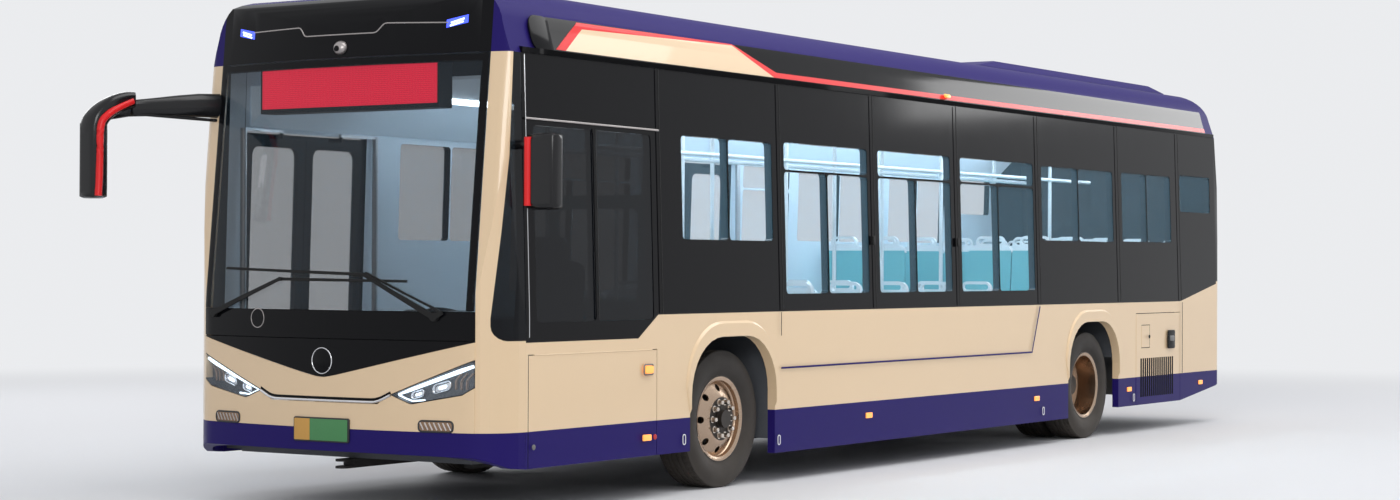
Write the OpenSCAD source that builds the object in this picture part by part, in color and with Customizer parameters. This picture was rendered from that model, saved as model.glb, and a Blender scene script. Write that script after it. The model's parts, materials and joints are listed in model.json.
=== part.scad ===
// Low-floor airport passenger bus, twelve metres long, with two double doors on its right side.
// The bus faces -X and its right side is +Y. The origin is on the road, below the middle of its box.
// Places along the bus are distances behind the nose, turned into X by at().

/* [Body] */
// Distance from the nose to the front axle
front_overhang = 2800; // [2700:10:2900]
// Distance between the axles
wheelbase = 6100; // [6000:10:6250]
// Distance from the rear axle to the tail
rear_overhang = 3140; // [3050:10:3250]
// Width over the side panels
body_w = 2550; // [2500:10:2600]
// Thickness of the walls and the roof
wall = 60; // [45:1:70]
// Height of the belt, where the walls start to lean inwards
belt_z = 1210; // [1190:5:1230]
// Height of the eaves, where the windows end
eave_z = 2830; // [2800:5:2860]
// Inward lean of each wall between the belt and the eaves
wall_lean = 50; // [30:1:70]
// Height of the roof's edge
roof_z = 3250; // [3220:5:3280]
// Radius of the roof's edge
roof_r = 290; // [260:5:310]
// Rise of the roof's middle over its edge
roof_crown = 15; // [8:1:25]

/* [Front and rear ends] */
// Radius of the bow of the nose, seen from above
bow_r = 5500; // [5000:100:6500]
// Radius of the front corners
front_corner_r = 320; // [300:5:340]
// Radius of the corners beside the windscreen
screen_corner_r = 130; // [110:5:140]
// Radius of the rear corners
rear_corner_r = 140; // [110:5:160]
// Radius of the upper tail's corners
tail_corner_r = 50; // [40:2:60]
// Backward tilt of the windscreen
screen_tilt = 5.5; // [4:0.1:6.5]
// Forward tilt of the upper tail
tail_tilt = 5; // [3:0.1:6]
// Length of the roof's front cap
front_cap = 750; // [700:10:800]
// Length of the roof's rear cap
rear_cap = 300; // [260:10:340]
// Radius of the front cap's brow
brow_r = 280; // [250:5:300]
// Thickness of the windscreen and the corner windows
screen_t = 10; // [8:1:14]

/* [Lower body] */
// Height of the painted line between skirt and side
skirt_top = 515; // [505:5:525]
// Clearance below the front corner panels
front_low = 288; // [270:2:300]
// Clearance below the skirts between the axles
mid_low = 208; // [200:2:220]
// Clearance below the skirts behind the rear axle
rear_low = 254; // [244:2:264]
// Clearance below the tail
tail_low = 370; // [350:5:390]
// Height of the wheel arches
arch_top = 1048; // [1030:2:1070]
// Half the length of a wheel arch
arch_half = 552; // [540:2:570]
// Radius of the arches' upper corners
arch_r = 390; // [340:5:420]

/* [Floor and ceiling] */
// Height of the low floor
floor_z = 360; // [350:5:370]
// Height of the raised floor over the rear axle
high_floor_z = 760; // [740:5:780]
// Place behind the nose where the raised floor starts
high_floor_at = 7700; // [7600:10:7800]
// Thickness of the floor
floor_t = 50; // [40:1:60]
// Height of the ceiling
ceiling_z = 2700; // [2680:5:2720]
// Thickness of the ceiling
ceiling_t = 20; // [15:1:25]

/* [Wheels] */
// Diameter of the tyres
tyre_d = 950; // [930:2:960]
// Width of a tyre
tyre_w = 276; // [260:2:280]
// Diameter of the rims' outer edge
rim_d = 600; // [590:2:610]
// Distance of a front tyre's middle from the centre plane
front_track_half = 1052; // [1040:2:1060]
// Distance between the middles of twin tyres
twin_gap = 312; // [300:2:320]
// Distance of the outer rear tyre's middle from the centre plane
rear_track_half = 1074; // [1064:2:1080]
// Distance of a kingpin from the centre plane
kingpin_half = 880; // [870:2:890]
// Number of hand holes in a rim
hole_count = 8; // [6:1:10]

/* [Doors] */
// Place behind the nose where the front doorway starts
front_door_at = 560; // [540:5:580]
// Place behind the nose where the middle doorway starts
middle_door_at = 5320; // [5250:10:5400]
// Length of the front doorway
front_door_w = 1240; // [1200:5:1260]
// Length of the middle doorway
middle_door_w = 1360; // [1320:5:1400]
// Height of the top of the doorways
door_top = 2420; // [2380:5:2450]
// Thickness of a door leaf
leaf_t = 40; // [34:1:46]
// Clearance between a doorway's leaves
leaf_gap = 8; // [6:1:10]
// Clearance between a leaf and its jamb, which the swing needs
jamb_gap = 18; // [16:1:22]
// Distance of the door posts inside the leaves' middle plane
post_inset = 105; // [100:1:110]
// Radius of a door post
post_r = 22; // [18:1:25]

/* [Mirrors] */
// Reach of the right mirror ahead of the nose
mirror_ahead = 580; // [560:5:600]
// Reach of each mirror from the centre plane
mirror_reach = 1560; // [1540:5:1580]

/* [Flaps] */
// Place behind the nose where the service flap starts
flap_at = 432; // [428:1:440]
// Length of the service flap
flap_w = 1416; // [1380:2:1430]
// Height of the service flap's top
flap_top = 985; // [970:5:1000]
// Place behind the nose where the equipment door starts
equip_at = 9856; // [9840:2:9870]
// Length of the equipment door
equip_w = 1090; // [1060:2:1100]
// Height of the equipment door's top
equip_top = 1108; // [1100:2:1120]
// Clearance round flaps and lids
flap_gap = 6; // [5:0.5:8]
// Thickness of flaps and lids
flap_t = 30; // [24:1:36]

/* [Hidden] */

body_l = front_overhang + wheelbase + rear_overhang;
half_w = body_w / 2;
inner_half = half_w - wall;
eave_half = half_w - wall_lean;
front_axle_at = front_overhang;
rear_axle_at = front_overhang + wheelbase;
cream = [0.93, 0.80, 0.62];
navy = [0.13, 0.09, 0.36];
roof_blue = [0.14, 0.12, 0.40];
gloss_black = [0.05, 0.05, 0.06];
metal = [0.77, 0.78, 0.79];
rubber = [0.08, 0.08, 0.08];
steel = [0.14, 0.14, 0.15];
LEFT = -1;
RIGHT = 1;
SIDES = [LEFT, RIGHT];
// Allowance by which a cutting shape passes beyond what it cuts
over = 40;
// Air between a pane or lens and its opening
seat_gap = 0.5;

// Turns a distance behind the nose into X. The right mirror reaches ahead of the nose.
function at(d) = d - (body_l - mirror_ahead) / 2;

// Points on an arc about c from angle a0 to angle a1, in n steps
function arc(c, r, a0, a1, n = 6) =
  [for (i = [0:n]) let (a = a0 + (a1 - a0) * i / n) [c[0] + r * cos(a), c[1] + r * sin(a)]];

// Rectangle with rounded corners
function rounded(x0, y0, x1, y1, r, n = 4) = concat(
  arc([x1 - r, y1 - r], r, 0, 90, n),
  arc([x0 + r, y1 - r], r, 90, 180, n),
  arc([x0 + r, y0 + r], r, 180, 270, n),
  arc([x1 - r, y0 + r], r, 270, 360, n)
);

// Round outline for what meets the curved front, where true arcs can't be used
function disc(c, r) = arc(c, r, 0, 345, 23);

// Straight bar from p to q, w0 wide at p and w1 wide at q
function bar(p, q, w0, w1) =
  let (v = q - p, n = [-v[1], v[0]] / norm(v) / 2) [p + n * w0, p - n * w0, q - n * w1, q + n * w1];

function mirrored(points) = concat(points, [for (i = [len(points) - 1:-1:0]) [-points[i][0], points[i][1]]]);

// Half width of the outside at height z
function side_half(z) = z < belt_z ? half_w : half_w - wall_lean * (z - belt_z) / (eave_z - belt_z);

// Right half of the body's section, from the bottom up to the roof's middle, o inside the outside
cove_lean = 50;
edge_r = min(roof_r, (roof_z - eave_z) * 0.7);
roof_cy = eave_half - cove_lean - edge_r;
roof_cz = roof_z - edge_r;
// Angles at which the roof's arc meets the cove and the crown
arc_start = 8;
arc_end = 86;
function half_section(o, low) = concat(
  [[half_w - o, low], [half_w - o, belt_z], [eave_half - o, eave_z]],
  arc([roof_cy, roof_cz], max(edge_r - o, 1), arc_start, arc_end, 8),
  [[roof_cy / 2, roof_z + roof_crown * 0.8 - o], [0, roof_z + roof_crown - o]]
);
module section(o = 0, low = 100) {
  polygon(mirrored(half_section(o, low)));
}

// Runs a section drawn in Y and Z along the bus from d0 to d1 behind the nose
module along(d0, d1) {
  translate([at(d0), 0, 0]) rotate([90, 0, 90]) linear_extrude(d1 - d0) children();
}

// Runs an outline drawn in X and Z through one side of the bus
module through_side(side, y0 = 0, y1 = body_w) {
  translate([0, side == LEFT ? -y0 : y1, 0]) rotate([90, 0, 0]) linear_extrude(y1 - y0) children();
}

// The nose seen from above: a wide bow that runs into the corner arcs
function corner_c(r) = let (y = half_w - r, d = bow_r - r) [bow_r - sqrt(d * d - y * y), y];
corner_end = corner_c(front_corner_r)[0];
function nose_half(o, r) =
  let (
    c = corner_c(r),
    turn = asin(c[1] / (bow_r - r)),
    bow = arc([bow_r, 0], bow_r - o, 180, 180 - turn, 8),
    bend = arc(c, r - o, 180 - turn, 90, 7)
  ) concat(bow, [for (i = [1:len(bend) - 1]) bend[i]]);
module nose_plan(o, back, r) {
  half = nose_half(o, r);
  translate([at(0), 0]) polygon(concat(
    half, [[back, half_w - o], [back, o - half_w]],
    [for (i = [len(half) - 1:-1:1]) [half[i][0], -half[i][1]]]
  ));
}

// Tilts what stands above the belt back by the windscreen's angle
module screen_lean() {
  translate([at(0), 0, belt_z]) rotate([0, screen_tilt, 0]) translate([-at(0), 0, -belt_z]) children();
}

function screen_x(z) = z < belt_z ? 0 : (z - belt_z) * tan(screen_tilt);

// Solid front end, o inside the outside, from the nose back to the front cap's rear seam
bend_r = min(brow_r, (roof_z - eave_z) * 0.7);
brow_z = roof_z - bend_r;
brow_d = screen_x(brow_z) + bend_r;
module front_solid(o = 0, back = front_cap) {
  intersection() {
    linear_extrude(roof_z + over + roof_crown) nose_plan(o, back, front_corner_r);
    screen_lean() translate([0, 0, -front_cap]) linear_extrude(roof_z + 2 * front_cap)
      nose_plan(o, back + front_cap, screen_corner_r);
    along(-over, back) section(o);
    rotate([90, 0, 0]) linear_extrude(2 * body_w, center = true) polygon(concat(
      [[at(back), 0], [at(-over), 0], [at(-over), brow_z - over], [at(brow_d - bend_r) + o, brow_z - over]],
      arc([at(brow_d), brow_z], max(bend_r - o, 1), 180, 92, 8),
      [[at(back), roof_z + roof_crown - o + 1]]
    ));
  }
}
module front_shell(back = front_cap, inner = wall) {
  difference() {
    front_solid(0, back);
    front_solid(inner, back + 1);
  }
}
// Depth behind the nose to which the pieces of the front are cut from its shell
nose_cut = 500;

// Runs an outline drawn in Y and Z through the front end
module through_front(depth = front_cap + over) {
  along(-over, depth) children();
}

// Solid rear end from d0 back to the tail
tail_bend_z = 1800;
module tail_plan(o, d0, r) {
  c = body_l - r;
  translate([at(0), 0]) polygon(concat(
    [[d0, o - half_w]],
    arc([c, r - half_w], r - o, 270, 360, 6),
    arc([c, half_w - r], r - o, 0, 90, 6),
    [[d0, half_w - o]]
  ));
}
module rear_solid(o, d0) {
  intersection() {
    linear_extrude(roof_z + over + roof_crown) tail_plan(o, d0, rear_corner_r);
    translate([at(body_l), 0, tail_bend_z]) rotate([0, -tail_tilt, 0])
      translate([-at(body_l), 0, -tail_bend_z - front_cap]) linear_extrude(roof_z + 2 * front_cap)
        tail_plan(o, d0 - rear_cap, tail_corner_r);
    along(d0, body_l + over) section(o);
    rotate([90, 0, 0]) linear_extrude(2 * body_w, center = true) polygon(concat(
      [[at(d0) - 1, 0], [at(d0) - 1, roof_z + roof_crown - o]],
      arc([at(tail_arc_d), roof_z - rear_brow_r], rear_brow_r - o, 88, 0, 8),
      [[at(body_l), tail_bend_z], [at(body_l + over), 0]]
    ));
  }
}
rear_brow_r = min(rear_cap, (roof_z - eave_z) * 0.72);
tail_arc_d = body_l - (roof_z - rear_brow_r - tail_bend_z) * tan(tail_tilt) - rear_brow_r;

// Section of one side wall
module wall_section(side, z0, z1, t = wall, o = 0) {
  function p(y, z) = [side * y, z];
  levels = z0 < belt_z && z1 > belt_z ? [z0, belt_z, z1] : [z0, z1];
  polygon(concat(
    [for (z = levels) p(side_half(z) - o, z)],
    [for (i = [len(levels) - 1:-1:0]) p(side_half(levels[i]) - o - t, levels[i])]
  ));
}
side_start = corner_end;
side_end = body_l - rear_corner_r;
module wall_slab(side, z0, z1, d0 = side_start, d1 = side_end, t = wall, o = 0) {
  along(d0, d1) wall_section(side, z0, z1, t, o);
}

// Arch opening round an axle, drawn in X and Z
function arch(d, grow = 0) =
  let (h = arch_half + grow, r = arch_r + grow, top = arch_top + grow) concat(
    [[at(d) + h, 0]],
    arc([at(d) + h - r, top - r], r, 0, 90, 8),
    arc([at(d) - h + r, top - r], r, 90, 180, 8),
    [[at(d) - h, 0]]
  );
module arches() {
  polygon(arch(front_axle_at));
  polygon(arch(rear_axle_at));
}

// Raised moulding round an arch: widest over its top, it tapers down both sides to nothing
moulding_out = 15;
moulding_top = 106;
moulding_side = 48;
moulding_foot = 540;
moulding_bevel = 16;
function moulding(d, in = 0) =
  let (
    r = arch_r + moulding_side - in,
    h = arch_half + moulding_side - in,
    top = arch_top + moulding_top - in
  ) concat(
    [[at(d) + arch_half, moulding_foot + 2 * in]],
    arc([at(d) + h - r, top - r], r, 0, 90, 10),
    arc([at(d) - h + r, top - r], r, 90, 180, 10),
    [[at(d) - arch_half, moulding_foot + 2 * in]]
  );
module arch_mouldings(side) {
  for (d = [front_axle_at, rear_axle_at]) difference() {
    hull() {
      through_side(side, half_w - 1, half_w + 1) polygon(moulding(d));
      through_side(side, half_w - 1, half_w + moulding_out) polygon(moulding(d, moulding_bevel));
    }
    through_side(side) polygon(arch(d));
    translate([at(0), -body_w, 0]) cube([body_l, 2 * body_w, skirt_top]);
  }
}

// Lower edge of the side, with the step up to the tail
module below_skirt() {
  polygon([
    [at(0), 0], [at(0), front_low], [at(front_axle_at), front_low], [at(front_axle_at), mid_low],
    [at(rear_axle_at), mid_low], [at(rear_axle_at), rear_low], [at(equip_at + equip_w), rear_low],
    [at(body_l - 96), tail_low], [at(body_l + over), tail_low], [at(body_l + over), 0]
  ]);
}

// Top edge of the side panels: it drops below the driver's window and rises at the tail
cab_sill = 1058;
cab_sill_end = 1627;
cab_step_end = 1860;
tail_rise = 165;
module above_side() {
  polygon([
    [at(-over), cab_sill], [at(cab_sill_end), cab_sill], [at(cab_step_end), belt_z],
    [at(equip_at + equip_w), belt_z], [at(side_end), belt_z + tail_rise], [at(body_l + over), belt_z + tail_rise],
    [at(body_l + over), roof_z * 2], [at(-over), roof_z * 2]
  ]);
}

// Doorways: where each starts, and its length
DOORWAYS = [[front_door_at, front_door_w], [middle_door_at, middle_door_w]];
module doorways() {
  for (d = DOORWAYS) translate([at(d[0]), floor_z]) square([d[1], door_top - floor_z]);
}

// Panel seams below and above a doorway's edges, from z0 to z1
module doorway_seams(z0, z1) {
  for (d = DOORWAYS, x = [d[0] - panel_seam, d[0] + d[1]])
    translate([at(x), z0]) square([panel_seam, z1 - z0]);
}

module flap_hole(at_d, w, top) {
  translate([at(at_d), 0]) square([w, top]);
}

module left_side() {
  color(cream) arch_mouldings(LEFT);
  color(cream) intersection() {
    wall_slab(LEFT, skirt_top, belt_z + tail_rise);
    through_side(LEFT) difference() {
      translate([at(0), 0]) square([body_l, roof_z]);
      above_side();
      arches();
      flap_hole(flap_at, flap_w, flap_top);
      flap_hole(equip_at, equip_w, equip_top);
    }
  }
}

module right_side() {
  color(cream) arch_mouldings(RIGHT);
  color(cream) intersection() {
    wall_slab(RIGHT, skirt_top, belt_z + tail_rise);
    through_side(RIGHT) difference() {
      translate([at(0), 0]) square([body_l, roof_z]);
      above_side();
      arches();
      doorways();
    }
  }
}

module skirts() {
  color(navy) {
    intersection() {
      wall_slab(LEFT, 100, skirt_top);
      through_side(LEFT) difference() {
        translate([at(0), 0]) square([body_l, roof_z]);
        below_skirt();
        arches();
        flap_hole(flap_at, flap_w, flap_top);
        flap_hole(equip_at, equip_w, equip_top);
      }
    }
    intersection() {
      wall_slab(RIGHT, 100, skirt_top);
      through_side(RIGHT) difference() {
        translate([at(0), 0]) square([body_l, roof_z]);
        below_skirt();
        arches();
        doorways();
        doorway_seams(0, skirt_top);
      }
    }
  }
}

// Side windows. Each row: start, end, sill, head, height of the rail under the hopper (0 for none),
// and the number of panes side by side below it
window_head = 2418;
LEFT_WINDOWS = [
  [ 519, 1810, 1180, 2390,    0, 2],
  [2175, 3346, 1710, 2405,    0, 2],
  [3516, 4745, 1335, window_head, 2215, 2],
  [4914, 6121, 1335, window_head, 2215, 2],
  [6300, 7678, 1335, window_head, 2215, 2],
  [7845, 9377, 1765, 2406,    0, 2],
  [9582, 10755, 1774, 2407,   0, 2],
  [10997, 11784, 2075, 2430,  0, 1]
];
RIGHT_WINDOWS = [
  LEFT_WINDOWS[1], [3516, 5120, 1335, window_head, 2215, 2], [6880, 7678, 1335, window_head, 2215, 1],
  LEFT_WINDOWS[5], LEFT_WINDOWS[6], LEFT_WINDOWS[7]
];
bar = 16;
pane_r = 30;
pane_t = 6;
// Every pane of a window, as [x0, z0, x1, z1]
function panes(w) =
  let (
    top = w[4] > 0 ? w[4] - bar / 2 : w[3],
    step = (w[1] - w[0] + bar) / w[5],
    low = [for (i = [0:w[5] - 1]) [at(w[0] + i * step), w[2], at(w[0] + (i + 1) * step - bar), top]]
  ) w[4] > 0 ? concat(low, [[at(w[0]), w[4] + bar / 2, at(w[1]), w[3]]]) : low;
module pane_outlines(rows, gap = 0) {
  for (w = rows, p = panes(w))
    polygon(rounded(p[0] + gap, p[1] + gap, p[2] - gap, p[3] - gap, pane_r - gap));
}

module window_band(side, rows) {
  intersection() {
    wall_slab(side, cab_sill, eave_z);
    through_side(side) difference() {
      intersection() {
        translate([at(0), 0]) square([body_l, roof_z]);
        above_side();
      }
      arches();
      pane_outlines(rows);
      if (side == RIGHT) {
        doorways();
        doorway_seams(door_top - 1, eave_z + 1);
      }
    }
  }
}

module left_window_band() {
  color(gloss_black) window_band(LEFT, LEFT_WINDOWS);
}

module right_window_band() {
  color(gloss_black) window_band(RIGHT, RIGHT_WINDOWS);
}

module side_windows() {
  color([0.5, 0.7, 0.8, 0.5]) {
    intersection() {
      wall_slab(LEFT, cab_sill, eave_z, t = pane_t, o = 4);
      through_side(LEFT) pane_outlines(LEFT_WINDOWS, seat_gap);
    }
    intersection() {
      wall_slab(RIGHT, cab_sill, eave_z, t = pane_t, o = 4);
      through_side(RIGHT) pane_outlines(RIGHT_WINDOWS, seat_gap);
    }
  }
}

// Roof behind the front cap: centre panel, and the coves with the gutters below it
roof_start = front_cap;
roof_end = body_l - rear_cap;
cove_top = round(roof_cz + edge_r * sin(24.5));
cove_h = cove_top - eave_z;
gutter_h = cove_h * 0.16;
gutter_bevel = gutter_h / 10;
gutter_out = 14;
// Depth by which the gutter is let into the cove
gutter_sunk = 1;
module roof() {
  color(roof_blue) along(roof_start, roof_end) intersection() {
    difference() {
      section(0);
      section(wall);
    }
    translate([-body_w, cove_top]) square([2 * body_w, roof_z]);
  }
}

module roof_coves() {
  color(gloss_black) {
    along(roof_start, roof_end) intersection() {
      difference() {
        section(0);
        section(wall);
      }
      translate([-body_w, eave_z]) square([2 * body_w, cove_top - eave_z]);
    }
    // Gutter, as [start, end, air to the shell behind it]
    for (run = [[side_start, roof_start, seat_gap], [roof_start, roof_end, -gutter_sunk], [roof_end, side_end, seat_gap]],
         s = SIDES)
      along(run[0], run[1]) polygon([
        [s * (eave_half + run[2]), eave_z], [s * (eave_half + gutter_out), eave_z + gutter_bevel],
        [s * (eave_half + gutter_out), eave_z + gutter_h - gutter_bevel],
        [s * (cove_half(eave_z + gutter_h) + run[2]), eave_z + gutter_h]
      ]);
  }
}

// Half width of the cove's face, a straight line from the eaves to the roof's arc
cove_arc = [roof_cy + edge_r * cos(arc_start), roof_cz + edge_r * sin(arc_start)];
function cove_half(z) = eave_half + (cove_arc[0] - eave_half) * (z - eave_z) / (cove_arc[1] - eave_z);

// Stripe on the cove: a thin red line that rises round a cream panel over the first windows
stripe_t = 3;
stripe_w = cove_h * 0.152;
stripe_z = eave_z + gutter_h * 1.15;
stripe_end = 3481;
// Corners of the panel and of the line round it, as [distance behind the nose, share of the cove's height]
PANEL_CORNERS = [[front_cap + 140, 0], [front_cap + 380, 0.765], [2945, 0.955], [3433, 0]];
LINE_CORNERS = [[front_cap + 37, 0], [front_cap + 342, 0.965], [2950, 1], [stripe_end, 0.19], [stripe_end, 0]];
module cove_outline(rows) {
  polygon([for (p = rows) [at(p[0]), stripe_z - stripe_t + p[1] * (cove_top - stripe_z + stripe_t)]]);
}
module stripe_band(side) {
  intersection() {
    along(roof_start, roof_end) difference() {
      section(-stripe_t);
      section(0);
    }
    through_side(side) children();
  }
}
module roof_stripes() {
  color([0.85, 0.15, 0.15]) for (s = SIDES) stripe_band(s) difference() {
    union() {
      cove_outline(LINE_CORNERS);
      translate([at(stripe_end) - 1, stripe_z]) square([roof_end - stripe_end + 1, stripe_w]);
    }
    cove_outline(PANEL_CORNERS);
    translate([at(0), 0]) square([body_l, stripe_z]);
  }
}

module stripe_panels() {
  color(cream) for (s = SIDES) stripe_band(s) difference() {
    cove_outline(PANEL_CORNERS);
    translate([at(0), 0]) square([body_l, stripe_z]);
  }
}

// Air-conditioning unit on the roof, with a row of fans under guards, and two escape hatches
pod_start = 7350;
pod_end = 11550;
pod_half = 850;
pod_rise = 90;
pod_top = roof_z + pod_rise;
pod_nose = 600;
pod_tail = 300;
pod_chine = 60;
fan_r = 190;
fan_depth = 36;
fan_rim = 12;
fan_hub_r = 62;
guard_w = 10;
FANS_AT = [8400, 9400, 10400];
module fan_well(d, y) {
  translate([at(d), y, pod_top - fan_depth]) difference() {
    cylinder(r = fan_r, h = fan_depth + 1, $fn = 48);
    translate([0, 0, -1]) cylinder(r = fan_hub_r, h = fan_depth - 4, $fn = 32);
    for (a = [0:45:135]) rotate([0, 0, a])
      translate([-fan_r, -guard_w / 2, fan_depth - 12]) cube([2 * fan_r, guard_w, 6]);
    translate([0, 0, fan_depth - 12]) difference() {
      cylinder(r = fan_r * 0.7 + guard_w, h = 6, $fn = 48);
      translate([0, 0, -1]) cylinder(r = fan_r * 0.7, h = 8, $fn = 48);
    }
  }
}
HATCHES_AT = [2300, 5600];
hatch_half = 360;
hatch_rise = 45;
module roof_pod() {
  color(roof_blue) difference() {
    intersection() {
      rotate([90, 0, 0]) linear_extrude(2 * pod_half, center = true) polygon([
        [at(pod_start), roof_z - pod_rise], [at(pod_start + pod_chine), roof_z + roof_crown],
        [at(pod_start + pod_nose), pod_top], [at(pod_end - pod_tail), pod_top],
        [at(pod_end), roof_z + roof_crown], [at(pod_end), roof_z - pod_rise]
      ]);
      along(pod_start, pod_end) polygon(mirrored([
        [pod_half, roof_z - pod_rise], [pod_half, roof_z + roof_crown],
        [pod_half - pod_chine, pod_top - fan_rim], [pod_half - 2 * pod_chine, pod_top], [0, pod_top]
      ]));
    }
    along(0, body_l) section(0);
    for (d = FANS_AT, y = [-2 * fan_r, 2 * fan_r]) fan_well(d, y);
  }
  color(roof_blue) for (d = HATCHES_AT) difference() {
    intersection() {
      translate([at(d), 0, roof_z]) rotate([90, 0, 0]) linear_extrude(2 * hatch_half, center = true) polygon([
        [-hatch_half, -pod_rise], [-hatch_half, roof_crown], [hatch_rise - hatch_half, hatch_rise],
        [hatch_half - hatch_rise, hatch_rise], [hatch_half, roof_crown], [hatch_half, -pod_rise]
      ]);
      translate([0, 0, roof_z - pod_rise]) linear_extrude(2 * pod_rise) translate([at(d), 0])
        polygon(rounded(-hatch_half, -hatch_half, hatch_half, hatch_half, hatch_rise));
    }
    along(0, body_l) section(0);
  }
}

module front_dome() {
  color(roof_blue) difference() {
    intersection() {
      front_shell();
      translate([at(-over), -body_w, eave_z]) cube([front_cap + 2 * over, 2 * body_w, roof_z]);
    }
    through_front() for (s = SIDES) dome_lamp_outline(s);
  }
  color(roof_blue) intersection() {
    front_solid(wall);
    translate([at(-over), -body_w, eave_z]) cube([front_cap + over, 2 * body_w, ceiling_t]);
  }
}

// Slanted lamps in the dome, placed and sized by the height of the dome
dome_h = roof_z - eave_z;
dome_lamp_y = half_w - 485;
dome_lamp_w = 150;
dome_lamp_z = eave_z + dome_h * 0.37;
dome_lamp_h = dome_h * 0.12;
dome_lamp_slant = dome_h * 0.067;
module dome_lamp_outline(s, gap = 0) {
  y0 = dome_lamp_y - gap;
  y1 = dome_lamp_y + dome_lamp_w + gap;
  z0 = dome_lamp_z - gap;
  z1 = dome_lamp_z + dome_lamp_h + gap;
  polygon([[s * y0, z0], [s * y1, z0 + dome_lamp_slant], [s * y1, z1 + dome_lamp_slant], [s * y0, z1]]);
}
module dome_lamps() {
  color([0.75, 0.88, 1]) for (s = SIDES) intersection() {
    front_shell();
    through_front() dome_lamp_outline(s, -seat_gap);
  }
}

corner_w = 170;
mask_half = half_w - corner_w;
screen_low = 1250;
vee_z = 826;
vee_side_z = 1070;
vee_round = 120;

// Black panel under the windscreen, ending below in a wide vee
module vee_outline() {
  slope = (vee_side_z - vee_z) / mask_half;
  polygon([
    [-mask_half, screen_low], [-mask_half, vee_side_z], [-vee_round, vee_z + slope * vee_round],
    [0, vee_z + slope * vee_round * 0.4], [vee_round, vee_z + slope * vee_round],
    [mask_half, vee_side_z], [mask_half, screen_low]
  ]);
}
// Corners of a headlamp, from its outer top inwards, below and back out, as [half width, height]
lamp_inner = 530;
HEADLAMP = [
  [mask_half + 2, 955], [lamp_inner, 735], [lamp_inner + 145, 682], [mask_half - 75, 745], [mask_half + 2, 790]
];
module headlamp_outline(s, gap = 0) {
  scale([s, 1]) offset(delta = gap) polygon(HEADLAMP);
}
fog_w = 235;
fog_h = 65;
fog_out = mask_half - 135;
module fog_outline(s, gap = 0) {
  scale([s, 1]) offset(delta = gap)
    polygon(rounded(fog_out - fog_w, skirt_top + 3, fog_out, skirt_top + 3 + fog_h, 20));
}
// Bright moulding that joins the headlamps, level in the middle and raised at both ends
moulding_h = 16;
function moulding_line(z) = [[lamp_inner - 98, z], [lamp_inner - 6, z + 41]];
module moulding_outline(gap = 0) {
  offset(delta = gap) polygon(concat(
    [for (p = moulding_line(694)) [p[0], p[1]]],
    [for (i = [1:-1:0]) let (p = moulding_line(694 - moulding_h)[i]) [p[0] + (i == 0 ? 4 : 0), p[1]]],
    [for (i = [0:1]) let (p = moulding_line(694 - moulding_h)[i]) [-p[0] - (i == 0 ? 4 : 0), p[1]]],
    [for (i = [1:-1:0]) let (p = moulding_line(694)[i]) [-p[0], p[1]]]
  ));
}

module front_mask() {
  color(cream) intersection() {
    front_shell(nose_cut);
    through_front(nose_cut) difference() {
      translate([-mask_half, skirt_top]) square([2 * mask_half, screen_low - skirt_top]);
      vee_outline();
      for (s = SIDES) {
        headlamp_outline(s);
        fog_outline(s);
      }
      moulding_outline();
    }
  }
}

panel_seam = 4;
module front_panel() {
  color(gloss_black) intersection() {
    front_shell(nose_cut);
    through_front(nose_cut) difference() {
      vee_outline();
      translate([-body_w, vee_side_z]) square([2 * body_w, panel_seam]);
    }
  }
}

module windscreen() {
  color([0.5, 0.6, 0.65, 0.5]) intersection() {
    front_shell(nose_cut, screen_t);
    through_front(nose_cut) translate([-mask_half, screen_low]) square([2 * mask_half, eave_z - screen_low]);
  }
}

// Corner panels, with the narrow painted strip beside the windscreen
strip_d = 180;
corner_window_low = 1070;
module corner_window_outline(gap = 0) {
  screen_x_top = screen_x(eave_z);
  polygon(concat(
    [[at(side_start) + 1, eave_z + 1], [at(strip_d + screen_x_top) + gap, eave_z + 1], [at(strip_d) + gap, belt_z]],
    arc([at(strip_d + 90), corner_window_low + 90], 90 - gap, 180, 270, 5),
    [[at(side_start) + 1, corner_window_low + gap]]
  ));
}
// Air between a front corner and the side wall behind it
panel_air = 0.3;
module corner_region() {
  difference() {
    translate([at(-over), -body_w, skirt_top])
      cube([side_start + over - panel_air, 2 * body_w, eave_z - skirt_top]);
    translate([at(-over) - 1, -mask_half, 0]) cube([side_start + 2 * over, 2 * mask_half, roof_z]);
  }
}
module front_corners() {
  color(cream) intersection() {
    front_shell(nose_cut);
    difference() {
      corner_region();
      for (s = SIDES) through_side(s, mask_half - corner_w) corner_window_outline();
    }
  }
}

module corner_windows() {
  color(gloss_black) intersection() {
    front_shell(nose_cut, screen_t);
    corner_region();
    for (s = SIDES) through_side(s, mask_half - corner_w) corner_window_outline(seat_gap);
  }
}

bumper_low = 365;
module bumpers() {
  color(navy) {
    intersection() {
      front_shell(nose_cut);
      rotate([90, 0, 0]) linear_extrude(2 * body_w, center = true) polygon([
        [at(-over), skirt_top], [at(side_start), skirt_top], [at(side_start), front_low],
        [at(side_start - 120), front_low + 10], [at(120), bumper_low], [at(-over), bumper_low + 10]
      ]);
    }
    intersection() {
      difference() {
        rear_solid(0, side_end);
        rear_solid(wall, side_end - 1);
      }
      translate([at(side_end), -body_w, tail_low]) cube([rear_cap, 2 * body_w, skirt_top - tail_low]);
    }
  }
}

// Route sign behind the top of the windscreen, blank
sign_half = 735;
sign_low = 2500;
sign_depth = 130;
sign_d = 200;
module route_sign() {
  color([0.5, 0.05, 0.05]) translate([at(sign_d + 30), -sign_half, sign_low])
    cube([sign_depth, 2 * sign_half, eave_z - sign_low]);
}

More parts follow.
